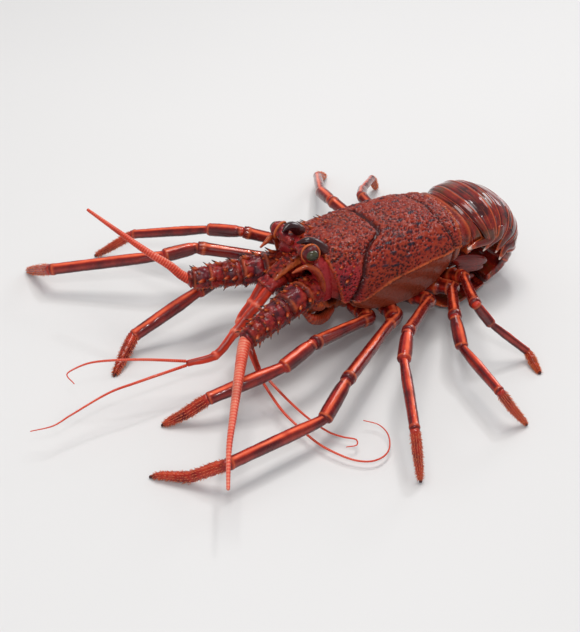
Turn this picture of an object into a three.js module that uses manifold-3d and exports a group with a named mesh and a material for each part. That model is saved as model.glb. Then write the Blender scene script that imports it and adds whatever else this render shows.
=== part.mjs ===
// A spiny lobster at life size, standing on ten feet with its tail curled under it.
// Millimetres. The animal faces minus Y, its left side is plus X, and the floor is at Z 0.
import * as THREE from 'three';
import { mergeVertices } from 'three/addons/utils/BufferGeometryUtils.js';
import Module from 'manifold-3d';

const wasm = await Module();
wasm.setup();

// Driving dimensions
const gap = 0.4;
const legSides = 8;
const footFlat = 1.3;
const footClear = 0.3;
const shoulder = 0.84;
const waistShare = 0.42;
const roofShare = 0.2;
const curlY = 23;
const curlZ = 31;
const flagellumRadius = 3.7;
const feelerRadius = 0.9;

// Middle of the whole outline in plan, from which the part's own frame is measured
const middleX = -3.5;
const middleY = -112.4;

// The carapace by distance forward of its rear edge: crest height, half width, height of its lower edge
const crestHeight = [[-3, 60.5], [6, 62.5], [25, 66], [54, 67], [75, 67], [92, 65.5], [100, 61]];
const halfWidth = [[-3, 28], [6, 30], [20, 32.5], [45, 33.5], [66, 32.5], [80, 30], [90, 26], [100, 21]];
const edgeHeight = [
  [-3, 40], [4, 38], [14, 33], [24, 27], [35, 23.5], [53, 23], [71, 26], [82, 31], [100, 40],
];

// Where the front and rear shields part, and the front edge, by angle down from the crest
const shieldBorder = [[0, 53], [21, 54], [33, 63], [45, 69], [62, 73], [75, 74.5], [90, 77], [150, 83]];
const frontEdge = [[0, 98], [12, 98], [28, 94.5], [50, 94], [70, 93], [90, 91], [150, 85]];
const rearEdge = [[0, -2.6], [25, -0.6], [50, 2], [90, 4], [150, 4]];

// Rear borders of the six tail segments as angles about the middle of the curl, half widths at both ends of
// each, and at each rear border the distance of the crest from that middle and the height of the section
const tailBorders = [-27, 3, 36, 69, 104, 168];
const tailHalfWidths = [[26, 25.4], [28.4, 28.5], [28.5, 27.5], [27.5, 26.5], [26.5, 24.6], [24.4, 19]];
const tailRadii = [34, 33, 32, 31.6, 31.5, 31.8];
const tailHeights = [21, 21, 21, 20, 18, 11];

// The front end of the tail is an upright section behind the carapace
const tailFrontMiddle = [0, 4.6, 36.4];
const tailFrontHeight = 23.6;

// Tips of the side spines of segments two to five
const sideSpineTips = [[28.6, 2.5, 42.6], [26, 17, 35.5], [24.5, 28.5, 29.8], [26.6, 30, 25.6]];

// Joints of each leg: the hip side of the thigh, knee, wrist, ankle and toe
const legJoints = {
  left_1: [[29, -69, 19], [49, -122, 32], [52, -144, 26], [42, -186, 15], [33, -210, 0]],
  left_2: [[34, -53, 18], [81, -122, 26], [91, -143, 15], [98, -208, 17], [68, -237, 0]],
  left_3: [[33, -28, 20], [75, -77, 38], [92, -92, 35], [138, -119, 29], [147, -120, 0]],
  left_4: [[30, -9, 21], [71, -40, 33], [86, -46, 23], [130, -55, 23], [139, -41, 0]],
  left_5: [[30, -1, 26], [74, -28, 39], [81, -21, 27], [91, 0, 6], [106, -3, 0]],
  right_1: [[-26, -70, 19], [-40, -124, 32], [-36, -146, 28], [-38, -188, 11], [-22, -210, 0]],
  right_2: [[-30, -55, 18], [-75, -123, 31], [-79, -144, 30], [-120, -200, 17], [-151, -202, 0]],
  right_3: [[-32, -37, 18], [-69, -94, 36], [-87, -108, 33], [-129, -138, 18], [-144, -158, 0]],
  right_4: [[-30, -15, 22], [-81, -20, 30], [-100, -15, 26], [-137, 8, 14], [-154, 26, 0]],
  right_5: [[-29, -3, 24], [-78, 1, 29], [-91, 12, 24], [-113, 36, 15], [-121, 46, 0]],
};
const hipPlaces = [[15, -68], [16, -53], [17, -37], [17.5, -21], [18, -6]];
const hipHeight = 18;

// How far the middle of a foot lies above the straight line, where it differs from the others
const footBow = { left_2: -3.4, left_1: -0.6, left_4: -0.3 };

// Thickness of each leg at thigh, wrist joint, shin and toe root, as radii
const legRadii = [
  [3.7, 4.8, 4, 3.3], [3.6, 4.7, 3.6, 3.2], [3.4, 4.4, 3.1, 2.6], [3.5, 4.3, 3.1, 2.5],
  [3.1, 3.4, 2.4, 2.1],
];

// Antenna stalks, base to whip, and the whips and feelers by the points that they pass
const stalkLeft = [
  [15.5, -99, 42.5], [19.5, -113, 42.5], [23, -126, 41], [26, -138, 38.5], [29.5, -153.5, 34.5],
];
const stalkRight = [
  [-15.5, -99, 42.5], [-19.5, -113, 42], [-23.5, -126, 41.5], [-27.5, -138, 41], [-33, -152.5, 40.5],
];
const whipLeft = [
  [34.5, -158.5, 33.6], [56, -175, 33], [84, -196, 32], [103, -210, 31], [126.5, -225, 28.5],
];
const whipRight = [
  [-35.6, -157, 43.8], [-39.5, -162, 49.5], [-47, -170, 56], [-61, -176, 60.5], [-92, -186, 68],
];
const feelerStalkLeft = [
  [3.4, -121.4, 43.4], [7, -133, 37], [13, -151, 29], [20, -168, 24], [16, -183, 22],
];
const feelerStalkRight = [
  [-3.4, -121.4, 43], [-1.5, -130, 34], [1.5, -140, 26], [17, -144, 20.5], [33, -148, 15],
];
const feelerLeftOuter = [
  [15.2, -184, 23.4], [8, -205, 28], [2, -221, 30], [-4, -232, 29], [-6.5, -240, 27], [-5, -246.5, 26],
  [3.5, -246.5, 25],
];
const feelerLeftInner = [
  [16, -184.2, 21], [16.7, -216, 22], [15.8, -232, 21], [18, -257, 17], [20, -268, 16], [15.5, -279, 14],
];
const feelerRightOuter = [
  [34.6, -149.4, 14.2], [43, -150.6, 12], [65, -153.2, 9], [78, -152, 6.5], [96, -150, 5], [107, -146.5, 4.5],
  [117, -141, 4], [122.5, -134, 4], [122.5, -126, 4], [118, -119, 4], [109, -113.5, 4.6], [100, -113, 5],
  [93.5, -118.5, 6],
];
const feelerRightInner = [
  [34.6, -147, 14.2], [44.5, -146.2, 11.5], [60.5, -145, 8.5], [78, -143.5, 7], [91, -139.5, 5],
  [98.5, -135.5, 5], [104, -131, 5], [108, -133.5, 5], [106.5, -139, 5],
];

// Radii of the antenna stalk, width and height, and where its spines stand around it in degrees
const stalkRadii = [[9, 10.4], [9.4, 9.8], [8.4, 8.6], [7.2, 7.6], [5.2, 5.4]];
const spineTurns = [20, 65, 115, 160, 215, 325];
const stalkSpineRadius = 1.4;
const stalkSpineLength = 4.5;
const whipTipRadius = 0.9;
const feelerStalkRadii = [3, 2.9, 2.6, 2.3, 1.8];
const feelerTaper = 0.5;

// Sections of the plates in the middle, front or rear first: distance along Y, then half width and heights
const breastSections = [
  [-2, 12.6], [-12, 12.4], [-24, 12], [-36, 11.5], [-48, 10.6], [-60, 9.4], [-70, 8], [-80, 6],
];
const breastLow = 14;
const breastShoulder = 18;
const antennularSections = [
  [-98.6, 5.4, 60.5, 42], [-106, 5.2, 58, 41], [-113, 5, 54.5, 40], [-118.8, 4.6, 50, 41],
];
const mouthSections = [[-80.5, 13, 27, 24.5], [-88, 17, 29.5, 25], [-93, 19, 37, 27], [-98.3, 19, 46, 32]];

// Horns over the eyes, left side, with width and height as radii
const hornRoute = [[11, -88, 63], [10.3, -93, 68.5], [8.6, -98, 71.8], [7, -105, 71]];
const hornRadii = [[4.6, 3.6], [3.6, 3], [2.4, 2.2], 0.4];

// Small spines of the front shield: angle down from the crest, distance forward, length
const shieldSpines = [
  [14, 84, 4.5], [30, 84, 4.5], [46, 88, 4], [62, 86, 4.5], [84, 84, 4.5], [26, 74, 3], [62, 79, 3],
];
const shieldSpineRadius = 1.5;
const spineSunk = 1.6;

// Eye ball half sizes and middle, and its stalk, left side
const eyeHalf = [5.4, 6, 5];
const eyeMiddle = [16.2, -102.4, 66.6];
const eyeStalk = [[3, -102.5, 64.6], [9, -103.5, 65.4], [15, -102.6, 66.2]];
const eyeStalkRadii = [2.2, 3, 4];

// Outer jaw leg, left side
const jawRoute = [[6, -82, 18], [11, -90, 18], [17, -101, 23], [13, -106, 29]];
const jawRadii = [4, 4.6, 3.4, 1.6];

// Swimming paddles under the tail, left side, by the segment that each pair hangs from
const paddles = {
  1: {
    stem: [[20, 21.6, 42], [20.4, 21, 37], [20.8, 19, 32]],
    middle: [21.5, 11, 28.3],
    half: [2, 14.5, 6],
    lean: -20,
  },
  4: {
    stem: [[15, 37.5, 32.4], [15.4, 27, 31], [16, 18, 23]],
    middle: [16.6, 12.5, 20.5],
    half: [1.8, 10, 5.6],
    lean: -14,
  },
  5: {
    stem: [[14, 36, 18], [14.4, 27, 15.6], [15, 18, 13.4]],
    middle: [15, 11.5, 12],
    half: [1.7, 10, 3.6],
    lean: -6,
  },
};
const stemRadii = [2.2, 2, 1.8, 1.2];

// The tail fan: half width, length and thickness of the middle plate and of each side blade
const telsonSize = [11, 46, 2.4];
const telsonRear = 28.4;
const bladeSize = [9.5, 40, 2];
const bladeRoot = [12.4, 26.2, 4.4];
const bladeSpread = 0.16;
const bladeLean = 0.12;

function vector(place) {
  return new THREE.Vector3(place[0], place[1], place[2]);
}

// Places given for the left side, as points of either side
function onSide(places, side) {
  return places.map(([x, y, z]) => new THREE.Vector3(side * x, y, z));
}

// A smooth value between stations, each of them a place and the value there
function valueAt(stations, place) {
  const last = stations.length - 1;
  const within = Math.min(Math.max(place, stations[0][0]), stations[last][0]);
  let i = 0;
  while (i < last - 1 && within > stations[i + 1][0]) i += 1;
  const slope = (k) => {
    const before = stations[Math.max(k - 1, 0)];
    const after = stations[Math.min(k + 1, last)];
    return (after[1] - before[1]) / (after[0] - before[0]);
  };
  const span = stations[i + 1][0] - stations[i][0];
  const t = (within - stations[i][0]) / span;
  const startShare = 2 * t ** 3 - 3 * t ** 2 + 1;
  const startTilt = (t ** 3 - 2 * t ** 2 + t) * span * slope(i);
  const endTilt = (t ** 3 - t ** 2) * span * slope(i + 1);
  return startShare * stations[i][1] + (1 - startShare) * stations[i + 1][1] + startTilt + endTilt;
}

// A closed solid through rings of equal point counts, with both ends closed to their middles
function ringSolid(rings) {
  const sides = rings[0].length;
  const points = rings.flat();
  const faces = [];
  for (let r = 0; r < rings.length - 1; r += 1) {
    for (let s = 0; s < sides; s += 1) {
      const a = r * sides + s;
      const b = r * sides + (s + 1) % sides;
      faces.push(a, b, b + sides, a, b + sides, a + sides);
    }
  }
  for (const end of [0, rings.length - 1]) {
    const middle = new THREE.Vector3();
    rings[end].forEach((point) => middle.addScaledVector(point, 1 / sides));
    points.push(middle);
    for (let s = 0; s < sides; s += 1) {
      const a = end * sides + s;
      const b = end * sides + (s + 1) % sides;
      faces.push(...(end === 0 ? [points.length - 1, b, a] : [points.length - 1, a, b]));
    }
  }
  const geometry = new THREE.BufferGeometry().setFromPoints(points);
  geometry.setIndex(faces);
  return facingOut(geometry);
}

// The same geometry with its faces turned to point outwards
function facingOut(geometry) {
  const place = geometry.getAttribute('position');
  const index = geometry.getIndex();
  const corners = [new THREE.Vector3(), new THREE.Vector3(), new THREE.Vector3()];
  let volume = 0;
  for (let i = 0; i < index.count; i += 3) {
    corners.forEach((corner, k) => corner.fromBufferAttribute(place, index.getX(i + k)));
    volume += corners[0].dot(corners[1].clone().cross(corners[2]));
  }
  if (volume < 0) index.array.reverse();
  return geometry;
}

function toSolid(geometry) {
  const bare = new THREE.BufferGeometry();
  bare.setAttribute('position', geometry.getAttribute('position').clone());
  if (geometry.getIndex()) bare.setIndex(geometry.getIndex());
  const merged = mergeVertices(bare, 1e-3);
  const vertProperties = new Float32Array(merged.getAttribute('position').array);
  const triVerts = new Uint32Array(merged.getIndex().array);
  return new wasm.Manifold(new wasm.Mesh({ numProp: 3, vertProperties, triVerts }));
}

function toGeometry(solid) {
  const mesh = solid.getMesh();
  const geometry = new THREE.BufferGeometry();
  geometry.setAttribute('position', new THREE.BufferAttribute(new Float32Array(mesh.vertProperties), 3));
  geometry.setIndex(Array.from(mesh.triVerts));
  return geometry;
}

// Several overlapping geometries joined as one
function joined(geometries) {
  return toGeometry(geometries.map(toSolid).reduce((all, one) => all.add(one)));
}

// A tapering tube through points. Each radius is a number or a width and a height.
// The end rings lie in the planes whose normals are given, or square to the tube.
function tube(points, radii, sides, startNormal, endNormal) {
  const last = points.length - 1;
  const direction = (i) => points[i + 1].clone().sub(points[i]).normalize();
  const rings = [];
  for (let i = 0; i <= last; i += 1) {
    const into = direction(Math.max(i - 1, 0));
    const out = direction(Math.min(i, last - 1));
    let normal = into.clone().add(out).normalize();
    if (i === 0 && startNormal) normal = startNormal;
    if (i === last && endNormal) normal = endNormal;
    const along = i === 0 ? out : into;
    const across = new THREE.Vector3(0, 0, 1).cross(along);
    if (across.lengthSq() < 0.02) across.set(1, 0, 0).cross(along);
    across.normalize();
    const over = along.clone().cross(across).normalize();
    const [wide, high] = Array.isArray(radii[i]) ? radii[i] : [radii[i], radii[i]];
    const ring = [];
    for (let s = 0; s < sides; s += 1) {
      const turn = (s / sides) * 2 * Math.PI;
      const offset = across.clone().multiplyScalar(Math.cos(turn) * wide);
      offset.addScaledVector(over, Math.sin(turn) * high);
      offset.addScaledVector(along, -offset.dot(normal) / along.dot(normal));
      ring.push(points[i].clone().add(offset));
    }
    rings.push(ring);
  }
  return rings;
}

// A spine as a slim cone, its root sunk into what it grows from
function spine(root, tip, radius, sides = 5) {
  const length = root.distanceTo(tip);
  const cone = new THREE.ConeGeometry(radius, length, sides);
  const turn = new THREE.Quaternion();
  turn.setFromUnitVectors(new THREE.Vector3(0, 1, 0), tip.clone().sub(root).normalize());
  cone.applyQuaternion(turn);
  const middle = root.clone().lerp(tip, 0.5);
  cone.translate(middle.x, middle.y, middle.z);
  return cone;
}

const finishes = {
  shell: { color: 0x7a1f17, roughness: 0.35, metalness: 0 },
  tail: { color: 0x7a2416, roughness: 0.25, metalness: 0 },
  leg: { color: 0x9a2c1c, roughness: 0.3, metalness: 0 },
  feeler: { color: 0xb5482a, roughness: 0.4, metalness: 0 },
  eye: { color: 0x1d1a16, roughness: 0.1, metalness: 0 },
  under: { color: 0xa4552c, roughness: 0.45, metalness: 0 },
};
const lobster = new THREE.Group();
lobster.position.set(-middleX, -middleY, 0);

function place(name, finish, geometry) {
  const mesh = new THREE.Mesh(geometry, new THREE.MeshStandardMaterial(finishes[finish]));
  mesh.name = name;
  lobster.add(mesh);
}

// Angles down from the crest of the points of one carapace section, left side
const crestAngles = [0, 14, 28, 42, 56, 70, 82];

// Then its lower edge and folded-in roof: angle for the borders, inset, and height above the edge as a share
const underPoints = [
  [95, 0.1, 0.85], [120, 1.4, 0.35], [140, 3.6, 0], [150, 6.5, 0.12], [150, 13, roofShare],
];

// One point of the carapace, by angle down from the crest, distance forward and side
function shellPoint(angle, forward, side) {
  const crest = valueAt(crestHeight, forward);
  const wide = valueAt(halfWidth, forward);
  const low = valueAt(edgeHeight, forward);
  const waist = low + waistShare * (crest - low);
  const turn = THREE.MathUtils.degToRad(Math.min(angle, 90));
  const x = wide * Math.sin(turn) ** shoulder;
  const z = waist + (crest - waist) * Math.cos(turn) ** shoulder;
  return new THREE.Vector3(side * x, -forward, z);
}

// A carapace section as a closed ring, from the crest down the left side and up the right
function shellRing(forwardAt) {
  const half = crestAngles.map((angle) => shellPoint(angle, forwardAt(angle), 1));
  for (const [angle, inset, rise] of underPoints) {
    const forward = forwardAt(angle);
    const low = valueAt(edgeHeight, forward);
    const waist = low + waistShare * (valueAt(crestHeight, forward) - low);
    half.push(new THREE.Vector3(valueAt(halfWidth, forward) - inset, -forward, low + rise * (waist - low)));
  }
  const right = half.slice(1).reverse().map((point) => new THREE.Vector3(-point.x, point.y, point.z));
  return [...half, ...right];
}

// A shield between two borders, each a table of distance forward by angle
function shield(rearBorder, foreBorder, steps) {
  const rings = [];
  for (let i = 0; i <= steps; i += 1) {
    rings.push(shellRing((angle) => {
      const rear = valueAt(rearBorder, angle) + gap / 2;
      const fore = valueAt(foreBorder, angle) - gap / 2;
      return rear + (fore - rear) * (i / steps);
    }));
  }
  return ringSolid(rings);
}

// A horn arches up over the eye and ends in a forward point
function horn(side) {
  return ringSolid(tube(onSide(hornRoute, side), hornRadii, 8));
}

function frontShield() {
  const pieces = [shield(shieldBorder, frontEdge, 6), horn(1), horn(-1)];
  for (const [angle, forward, length] of shieldSpines) {
    for (const side of [1, -1]) {
      const skin = shellPoint(angle, forward, side);
      const core = new THREE.Vector3(0, skin.y + 6, 44);
      const out = skin.clone().sub(core).normalize();
      const root = skin.clone().addScaledVector(out, -spineSunk);
      const tip = skin.clone().addScaledVector(out, length * 0.6);
      tip.y -= length * 0.75;
      pieces.push(spine(root, tip, shieldSpineRadius));
    }
  }
  return joined(pieces);
}

place('carapace_rear', 'shell', shield(rearEdge, shieldBorder, 8));
place('carapace_front', 'shell', frontShield());

// A ring across the body through points of its left side, given from top to bottom as x and z
function bothSides(left, y) {
  const points = left.map(([x, z]) => new THREE.Vector3(x, y, z));
  const right = left.map(([x, z]) => new THREE.Vector3(-x, y, z)).reverse();
  return [...points, ...right];
}

// The breastplate widens to the rear and carries the hips
function breastplate() {
  const rings = breastSections.map(([y, wide]) => {
    const low = valueAt(edgeHeight, -y);
    const top = low + roofShare * waistShare * (valueAt(crestHeight, -y) - low) - 1;
    const left = [[wide, top], [wide + 1, breastShoulder], [wide * 0.8, breastLow]];
    return bothSides(left, y);
  });
  return ringSolid(rings);
}

place('breastplate', 'under', breastplate());

// The plate between the antenna stalks slopes down to the feelers
function antennularPlate() {
  return ringSolid(antennularSections.map(([y, wide, top, low]) => {
    return bothSides([[wide * 0.5, top], [wide, top - 1.5], [wide, low]], y);
  }));
}

place('antennular_plate', 'shell', antennularPlate());

// The mouth frame fills the slope below the front shield, behind the antenna stalks
function mouthFrame() {
  return ringSolid(mouthSections.map(([y, wide, top, low]) => {
    return bothSides([[wide, top], [wide, low + 2], [wide * 0.6, low]], y);
  }));
}

place('mouth_frame', 'under', mouthFrame());

for (const [name, side] of [['left', 1], ['right', -1]]) {
  // Eye on its short stalk
  const ball = new THREE.SphereGeometry(1, 12, 8);
  ball.scale(...eyeHalf);
  ball.translate(side * eyeMiddle[0], eyeMiddle[1], eyeMiddle[2]);
  const stalk = ringSolid(tube(onSide(eyeStalk, side), eyeStalkRadii, 8));
  place(`eye_${name}`, 'eye', joined([ball, stalk]));

  // Outer jaw leg, folded forward under the mouth
  place(`jaw_leg_${name}`, 'under', ringSolid(tube(onSide(jawRoute, side), jawRadii, 8)));
}

// Forward spines around one length of an antenna stalk, at a share of its way
function stalkSpines(from, to, radii, share) {
  const along = to.clone().sub(from).normalize();
  const across = new THREE.Vector3(0, 0, 1).cross(along).normalize();
  const over = along.clone().cross(across);
  const middle = from.clone().lerp(to, share);
  return spineTurns.map((degrees) => {
    const turn = THREE.MathUtils.degToRad(degrees + share * 40);
    const out = across.clone().multiplyScalar(Math.cos(turn) * radii[0]);
    out.addScaledVector(over, Math.sin(turn) * radii[1]);
    const root = middle.clone().addScaledVector(out, 0.8);
    const tip = middle.clone().addScaledVector(out, 1.28).addScaledVector(along, stalkSpineLength);
    return spine(root, tip, stalkSpineRadius);
  });
}

// Antenna stalk in two lengths, then its whip
function antenna(name, stalk, whip) {
  const points = stalk.map(vector);
  const normal = points[3].clone().sub(points[1]).normalize();
  const baseEnd = points[2].clone().addScaledVector(normal, -gap / 2);
  const armStart = points[2].clone().addScaledVector(normal, gap / 2);
  const forward = new THREE.Vector3(0, -1, 0);
  const base = ringSolid(tube([points[0], points[1], baseEnd], stalkRadii.slice(0, 3), 12, forward, normal));
  const baseSpines = stalkSpines(points[0], points[1], [9.2, 9.8], 0.75);
  place(`antenna_${name}_base`, 'shell', joined([base, ...baseSpines]));
  const arm = ringSolid(tube([armStart, points[3], points[4]], stalkRadii.slice(2), 12, normal));
  const lowerSpines = stalkSpines(points[2], points[3], [7.8, 8.2], 0.4);
  const upperSpines = stalkSpines(points[3], points[4], [6.4, 6.8], 0.3);
  place(`antenna_${name}_arm`, 'shell', joined([arm, ...lowerSpines, ...upperSpines]));
  const aim = points[4].clone().sub(points[3]).normalize();
  const route = [points[4].clone().addScaledVector(aim, gap), ...whip.map(vector)];
  const curve = new THREE.CatmullRomCurve3(route);
  const steps = 12;
  const radii = [];
  for (let i = 0; i <= steps; i += 1) {
    radii.push(flagellumRadius + (whipTipRadius - flagellumRadius) * (i / steps) ** 0.8);
  }
  place(`antenna_${name}_whip`, 'feeler', ringSolid(tube(curve.getPoints(steps), radii, 8, aim)));
}

antenna('left', stalkLeft, whipLeft);
antenna('right', stalkRight, whipRight);

// Feelers between the antennae: a jointed stalk and two fine branches
function feeler(name, stalk, outer, inner) {
  const points = stalk.map(vector);
  place(`feeler_${name}_stalk`, 'feeler', ringSolid(tube(points, feelerStalkRadii, 8)));
  for (const [branch, route] of [['outer', outer], ['inner', inner]]) {
    const steps = route.length * 2;
    const curve = new THREE.CatmullRomCurve3(route.map(vector));
    const thickness = [];
    for (let i = 0; i <= steps; i += 1) thickness.push(feelerRadius - feelerTaper * (i / steps));
    place(`feeler_${name}_${branch}`, 'feeler', ringSolid(tube(curve.getPoints(steps), thickness, 6)));
  }
}

feeler('left', feelerStalkLeft, feelerLeftOuter, feelerLeftInner);
feeler('right', feelerStalkRight, feelerRightOuter, feelerRightInner);

// One leg: thigh from the hip to the knee, shin from knee to ankle, and foot down to its flat
function leg(name, joints, hip, radii) {
  const [thighRadius, wristRadius, shinRadius, toeRadius] = radii;
  const side = Math.sign(joints[0][0]);
  const root = new THREE.Vector3(side * hip[0], hip[1], hipHeight);
  const [start, knee, wrist, ankle, toe] = joints.map(vector);
  const turnAt = (a, b, c) => b.clone().sub(a).normalize().add(c.clone().sub(b).normalize()).normalize();
  const kneePlane = turnAt(start, knee, wrist);
  const anklePlane = turnAt(wrist, ankle, toe);
  const beside = (point, normal, share) => point.clone().addScaledVector(normal, share * gap);
  const on = (a, b, share) => a.clone().lerp(b, share);
  const thighEnd = beside(knee, kneePlane, -0.5);
  const upperPoints = [root, start, on(start, knee, 0.5), on(start, knee, 0.92), thighEnd];
  const upperRadii = [4.2, thighRadius * 1.08, thighRadius, thighRadius * 1.12, thighRadius * 0.9];
  place(`leg_${name}_thigh`, 'leg', ringSolid(tube(upperPoints, upperRadii, legSides, null, kneePlane)));
  const shinPoints = [beside(knee, kneePlane, 0.5), on(knee, wrist, 0.25), on(knee, wrist, 0.8), wrist,
    on(wrist, ankle, 0.15), on(wrist, ankle, 0.6), beside(ankle, anklePlane, -0.5)];
  const shinRadii = [thighRadius * 0.9, wristRadius * 0.9, wristRadius, shinRadius, shinRadius,
    shinRadius * 0.95, toeRadius * 1.05];
  const shinRings = tube(shinPoints, shinRadii, legSides, kneePlane, anklePlane);
  place(`leg_${name}_shin`, 'leg', ringSolid(shinRings));
  const bow = on(ankle, toe, 0.5).add(new THREE.Vector3(0, 0, footBow[name] ?? 0.3));
  const low = on(ankle, toe, 0.86).add(new THREE.Vector3(0, 0, 0.6));
  const footPoints = [beside(ankle, anklePlane, 0.5), on(ankle, bow, 0.4), bow, low, toe];
  const footRadii = [toeRadius, toeRadius, toeRadius * 0.9, toeRadius * 0.6, footFlat];
  const footRings = tube(footPoints, footRadii, legSides, anklePlane);
  const reach = toe.clone().sub(bow).setZ(0).normalize();
  const beam = new THREE.Vector3(0, 0, 1).cross(reach);
  for (const ring of footRings.slice(0, 4)) {
    const heights = ring.map((point) => point.z);
    const top = Math.max(...heights);
    const share = Math.min(1, (top - footClear) / (top - Math.min(...heights)));
    ring.forEach((point) => { point.z = top - (top - point.z) * share; });
  }
  footRings[4] = footRings[4].map((point, s) => {
    const turn = (s / legSides) * 2 * Math.PI;
    const flat = toe.clone().addScaledVector(beam, Math.cos(turn) * footFlat);
    return flat.addScaledVector(reach, Math.sin(turn) * footFlat);
  });
  place(`leg_${name}_foot`, 'leg', ringSolid(footRings));
}

for (const side of ['left', 'right']) {
  for (let pair = 1; pair <= 5; pair += 1) {
    leg(`${side}_${pair}`, legJoints[`${side}_${pair}`], hipPlaces[pair - 1], legRadii[pair - 1]);
  }
}

// Half sections of the tail: angles of the points down from its crest
const tailAngles = [0, 15, 30, 45, 60, 75, 90];

const curlMiddle = new THREE.Vector3(0, curlY, curlZ);

// One closed ring across the tail, in the plane that leans by the given angle about the curl's middle
function tailRing(lean, wide, radius, height, middle) {
  const turn = THREE.MathUtils.degToRad(lean);
  const up = new THREE.Vector3(0, Math.sin(turn), Math.cos(turn));
  const origin = middle ? middle.clone() : curlMiddle.clone().addScaledVector(up, radius - height);
  const half = tailAngles.map((degrees) => {
    const a = THREE.MathUtils.degToRad(degrees);
    const point = origin.clone().addScaledVector(up, height * Math.cos(a) ** shoulder);
    point.x = wide * Math.sin(a) ** shoulder;
    return point;
  });
  const belly = origin.clone().addScaledVector(up, -1.5);
  belly.x = wide * 0.72;
  half.push(belly);
  const other = half.slice(1).reverse().map((point) => new THREE.Vector3(-point.x, point.y, point.z));
  const ring = [...half, ...other];
  ring.forEach((point) => { point.z = Math.max(point.z, 0); });
  return ring;
}

function paddle(index, side) {
  const { stem, middle, half, lean } = paddles[index];
  const leaf = new THREE.SphereGeometry(1, 10, 8);
  leaf.scale(...half);
  leaf.rotateX(THREE.MathUtils.degToRad(lean));
  leaf.translate(side * middle[0], middle[1], middle[2]);
  return [leaf, ringSolid(tube(onSide([...stem, middle], side), stemRadii, 6))];
}

// The sections of one tail segment, front to rear
function tailRings(index) {
  const [foreWidth, rearWidth] = tailHalfWidths[index];
  const half = THREE.MathUtils.radToDeg(gap / 2 / 12);
  if (index === 0) {
    const first = tailRing(0, foreWidth, 0, tailFrontHeight, vector(tailFrontMiddle));
    const last = tailRing(tailBorders[0] - half, rearWidth, tailRadii[0], tailHeights[0]);
    return [first, first.map((point, k) => point.clone().lerp(last[k], 0.5)), last];
  }
  const mix = (list, t) => list[index - 1] + (list[index] - list[index - 1]) * t;
  const steps = index === 5 ? 5 : 3;
  const rings = [];
  for (let i = 0; i <= steps; i += 1) {
    const t = i / steps;
    const lean = mix(tailBorders, t) + half * (1 - 2 * t);
    const wide = foreWidth + (rearWidth - foreWidth) * t;
    rings.push(tailRing(lean, wide, mix(tailRadii, t) - (i === 0 ? 0.5 : 0), mix(tailHeights, t)));
  }
  return rings;
}

function tailSegment(index) {
  const pieces = [ringSolid(tailRings(index))];
  if (index >= 1 && index <= 4) {
    const middle = (tailBorders[index - 1] + tailBorders[index]) / 2;
    for (const side of [1, -1]) {
      const turn = THREE.MathUtils.degToRad(middle);
      const up = new THREE.Vector3(0, Math.sin(turn), Math.cos(turn));
      const root = curlMiddle.clone().addScaledVector(up, 14);
      root.x = side * (tailHalfWidths[index][0] - (index === 1 ? 0.4 : 2.2));
      const tip = vector(sideSpineTips[index - 1]);
      tip.x *= side;
      pieces.push(spine(root, tip, 2, 6));
    }
  }
  if (paddles[index]) pieces.push(...paddle(index, 1), ...paddle(index, -1));
  return joined(pieces);
}

for (let index = 0; index < 6; index += 1) place(`tail_${index + 1}`, 'tail', tailSegment(index));

// The tail fan lies folded forward on the floor: a middle plate with a blade on each side
function fanOutline(width, length) {
  const outline = new THREE.Shape();
  outline.moveTo(-width * 0.62, 0);
  outline.lineTo(width * 0.62, 0);
  outline.quadraticCurveTo(width, length * 0.35, width, length * 0.72);
  outline.quadraticCurveTo(width * 0.8, length, 0, length);
  outline.quadraticCurveTo(-width * 0.8, length, -width, length * 0.72);
  outline.quadraticCurveTo(-width, length * 0.35, -width * 0.62, 0);
  return outline;
}

function fanPlate([width, length, thick]) {
  const options = { depth: thick, bevelEnabled: false, curveSegments: 5 };
  const plate = new THREE.ExtrudeGeometry(fanOutline(width, length), options);
  plate.rotateZ(Math.PI);
  return plate;
}

const telson = fanPlate(telsonSize);
telson.translate(0, telsonRear, 0);
place('telson', 'tail', telson);
for (const [name, side] of [['left', 1], ['right', -1]]) {
  const blade = fanPlate(bladeSize);
  blade.rotateZ(side * bladeSpread);
  blade.rotateY(side * bladeLean);
  blade.translate(side * bladeRoot[0], bladeRoot[1], bladeRoot[2]);
  place(`fan_${name}`, 'tail', blade);
}

export default lobster;
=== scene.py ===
"""A spiny lobster at life size, standing on its legs with its tail curled under it.

Lengths in the tables are millimetres, with the floor at zero and the middle of the shell's rear edge at Y zero.
The animal faces minus Y and its left side is plus X.
"""

import math
from itertools import product

import bmesh
import bpy
import numpy as np
from mathutils import Matrix, Vector


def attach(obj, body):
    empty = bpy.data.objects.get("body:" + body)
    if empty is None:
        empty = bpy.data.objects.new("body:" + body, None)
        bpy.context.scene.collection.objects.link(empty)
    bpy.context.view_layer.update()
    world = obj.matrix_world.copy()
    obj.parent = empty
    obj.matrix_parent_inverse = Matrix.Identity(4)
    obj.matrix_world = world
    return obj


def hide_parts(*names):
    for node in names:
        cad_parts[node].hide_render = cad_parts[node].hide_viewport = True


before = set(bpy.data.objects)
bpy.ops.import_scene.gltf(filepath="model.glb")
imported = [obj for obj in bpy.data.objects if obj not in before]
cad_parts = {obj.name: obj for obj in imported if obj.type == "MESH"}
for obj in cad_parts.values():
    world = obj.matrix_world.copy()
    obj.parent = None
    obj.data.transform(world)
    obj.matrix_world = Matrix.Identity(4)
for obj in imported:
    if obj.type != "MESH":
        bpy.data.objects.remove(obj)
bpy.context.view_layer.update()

bl_info = {
    "name": "Spiny lobster",
    "version": (1, 0, 0),
    "blender": (4, 5, 0),
    "location": "View3D > Sidebar > Lobster",
    "description": "Builds a life-size spiny lobster piece by piece around its frame",
    "category": "Object",
}

MM = 0.001
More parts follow.
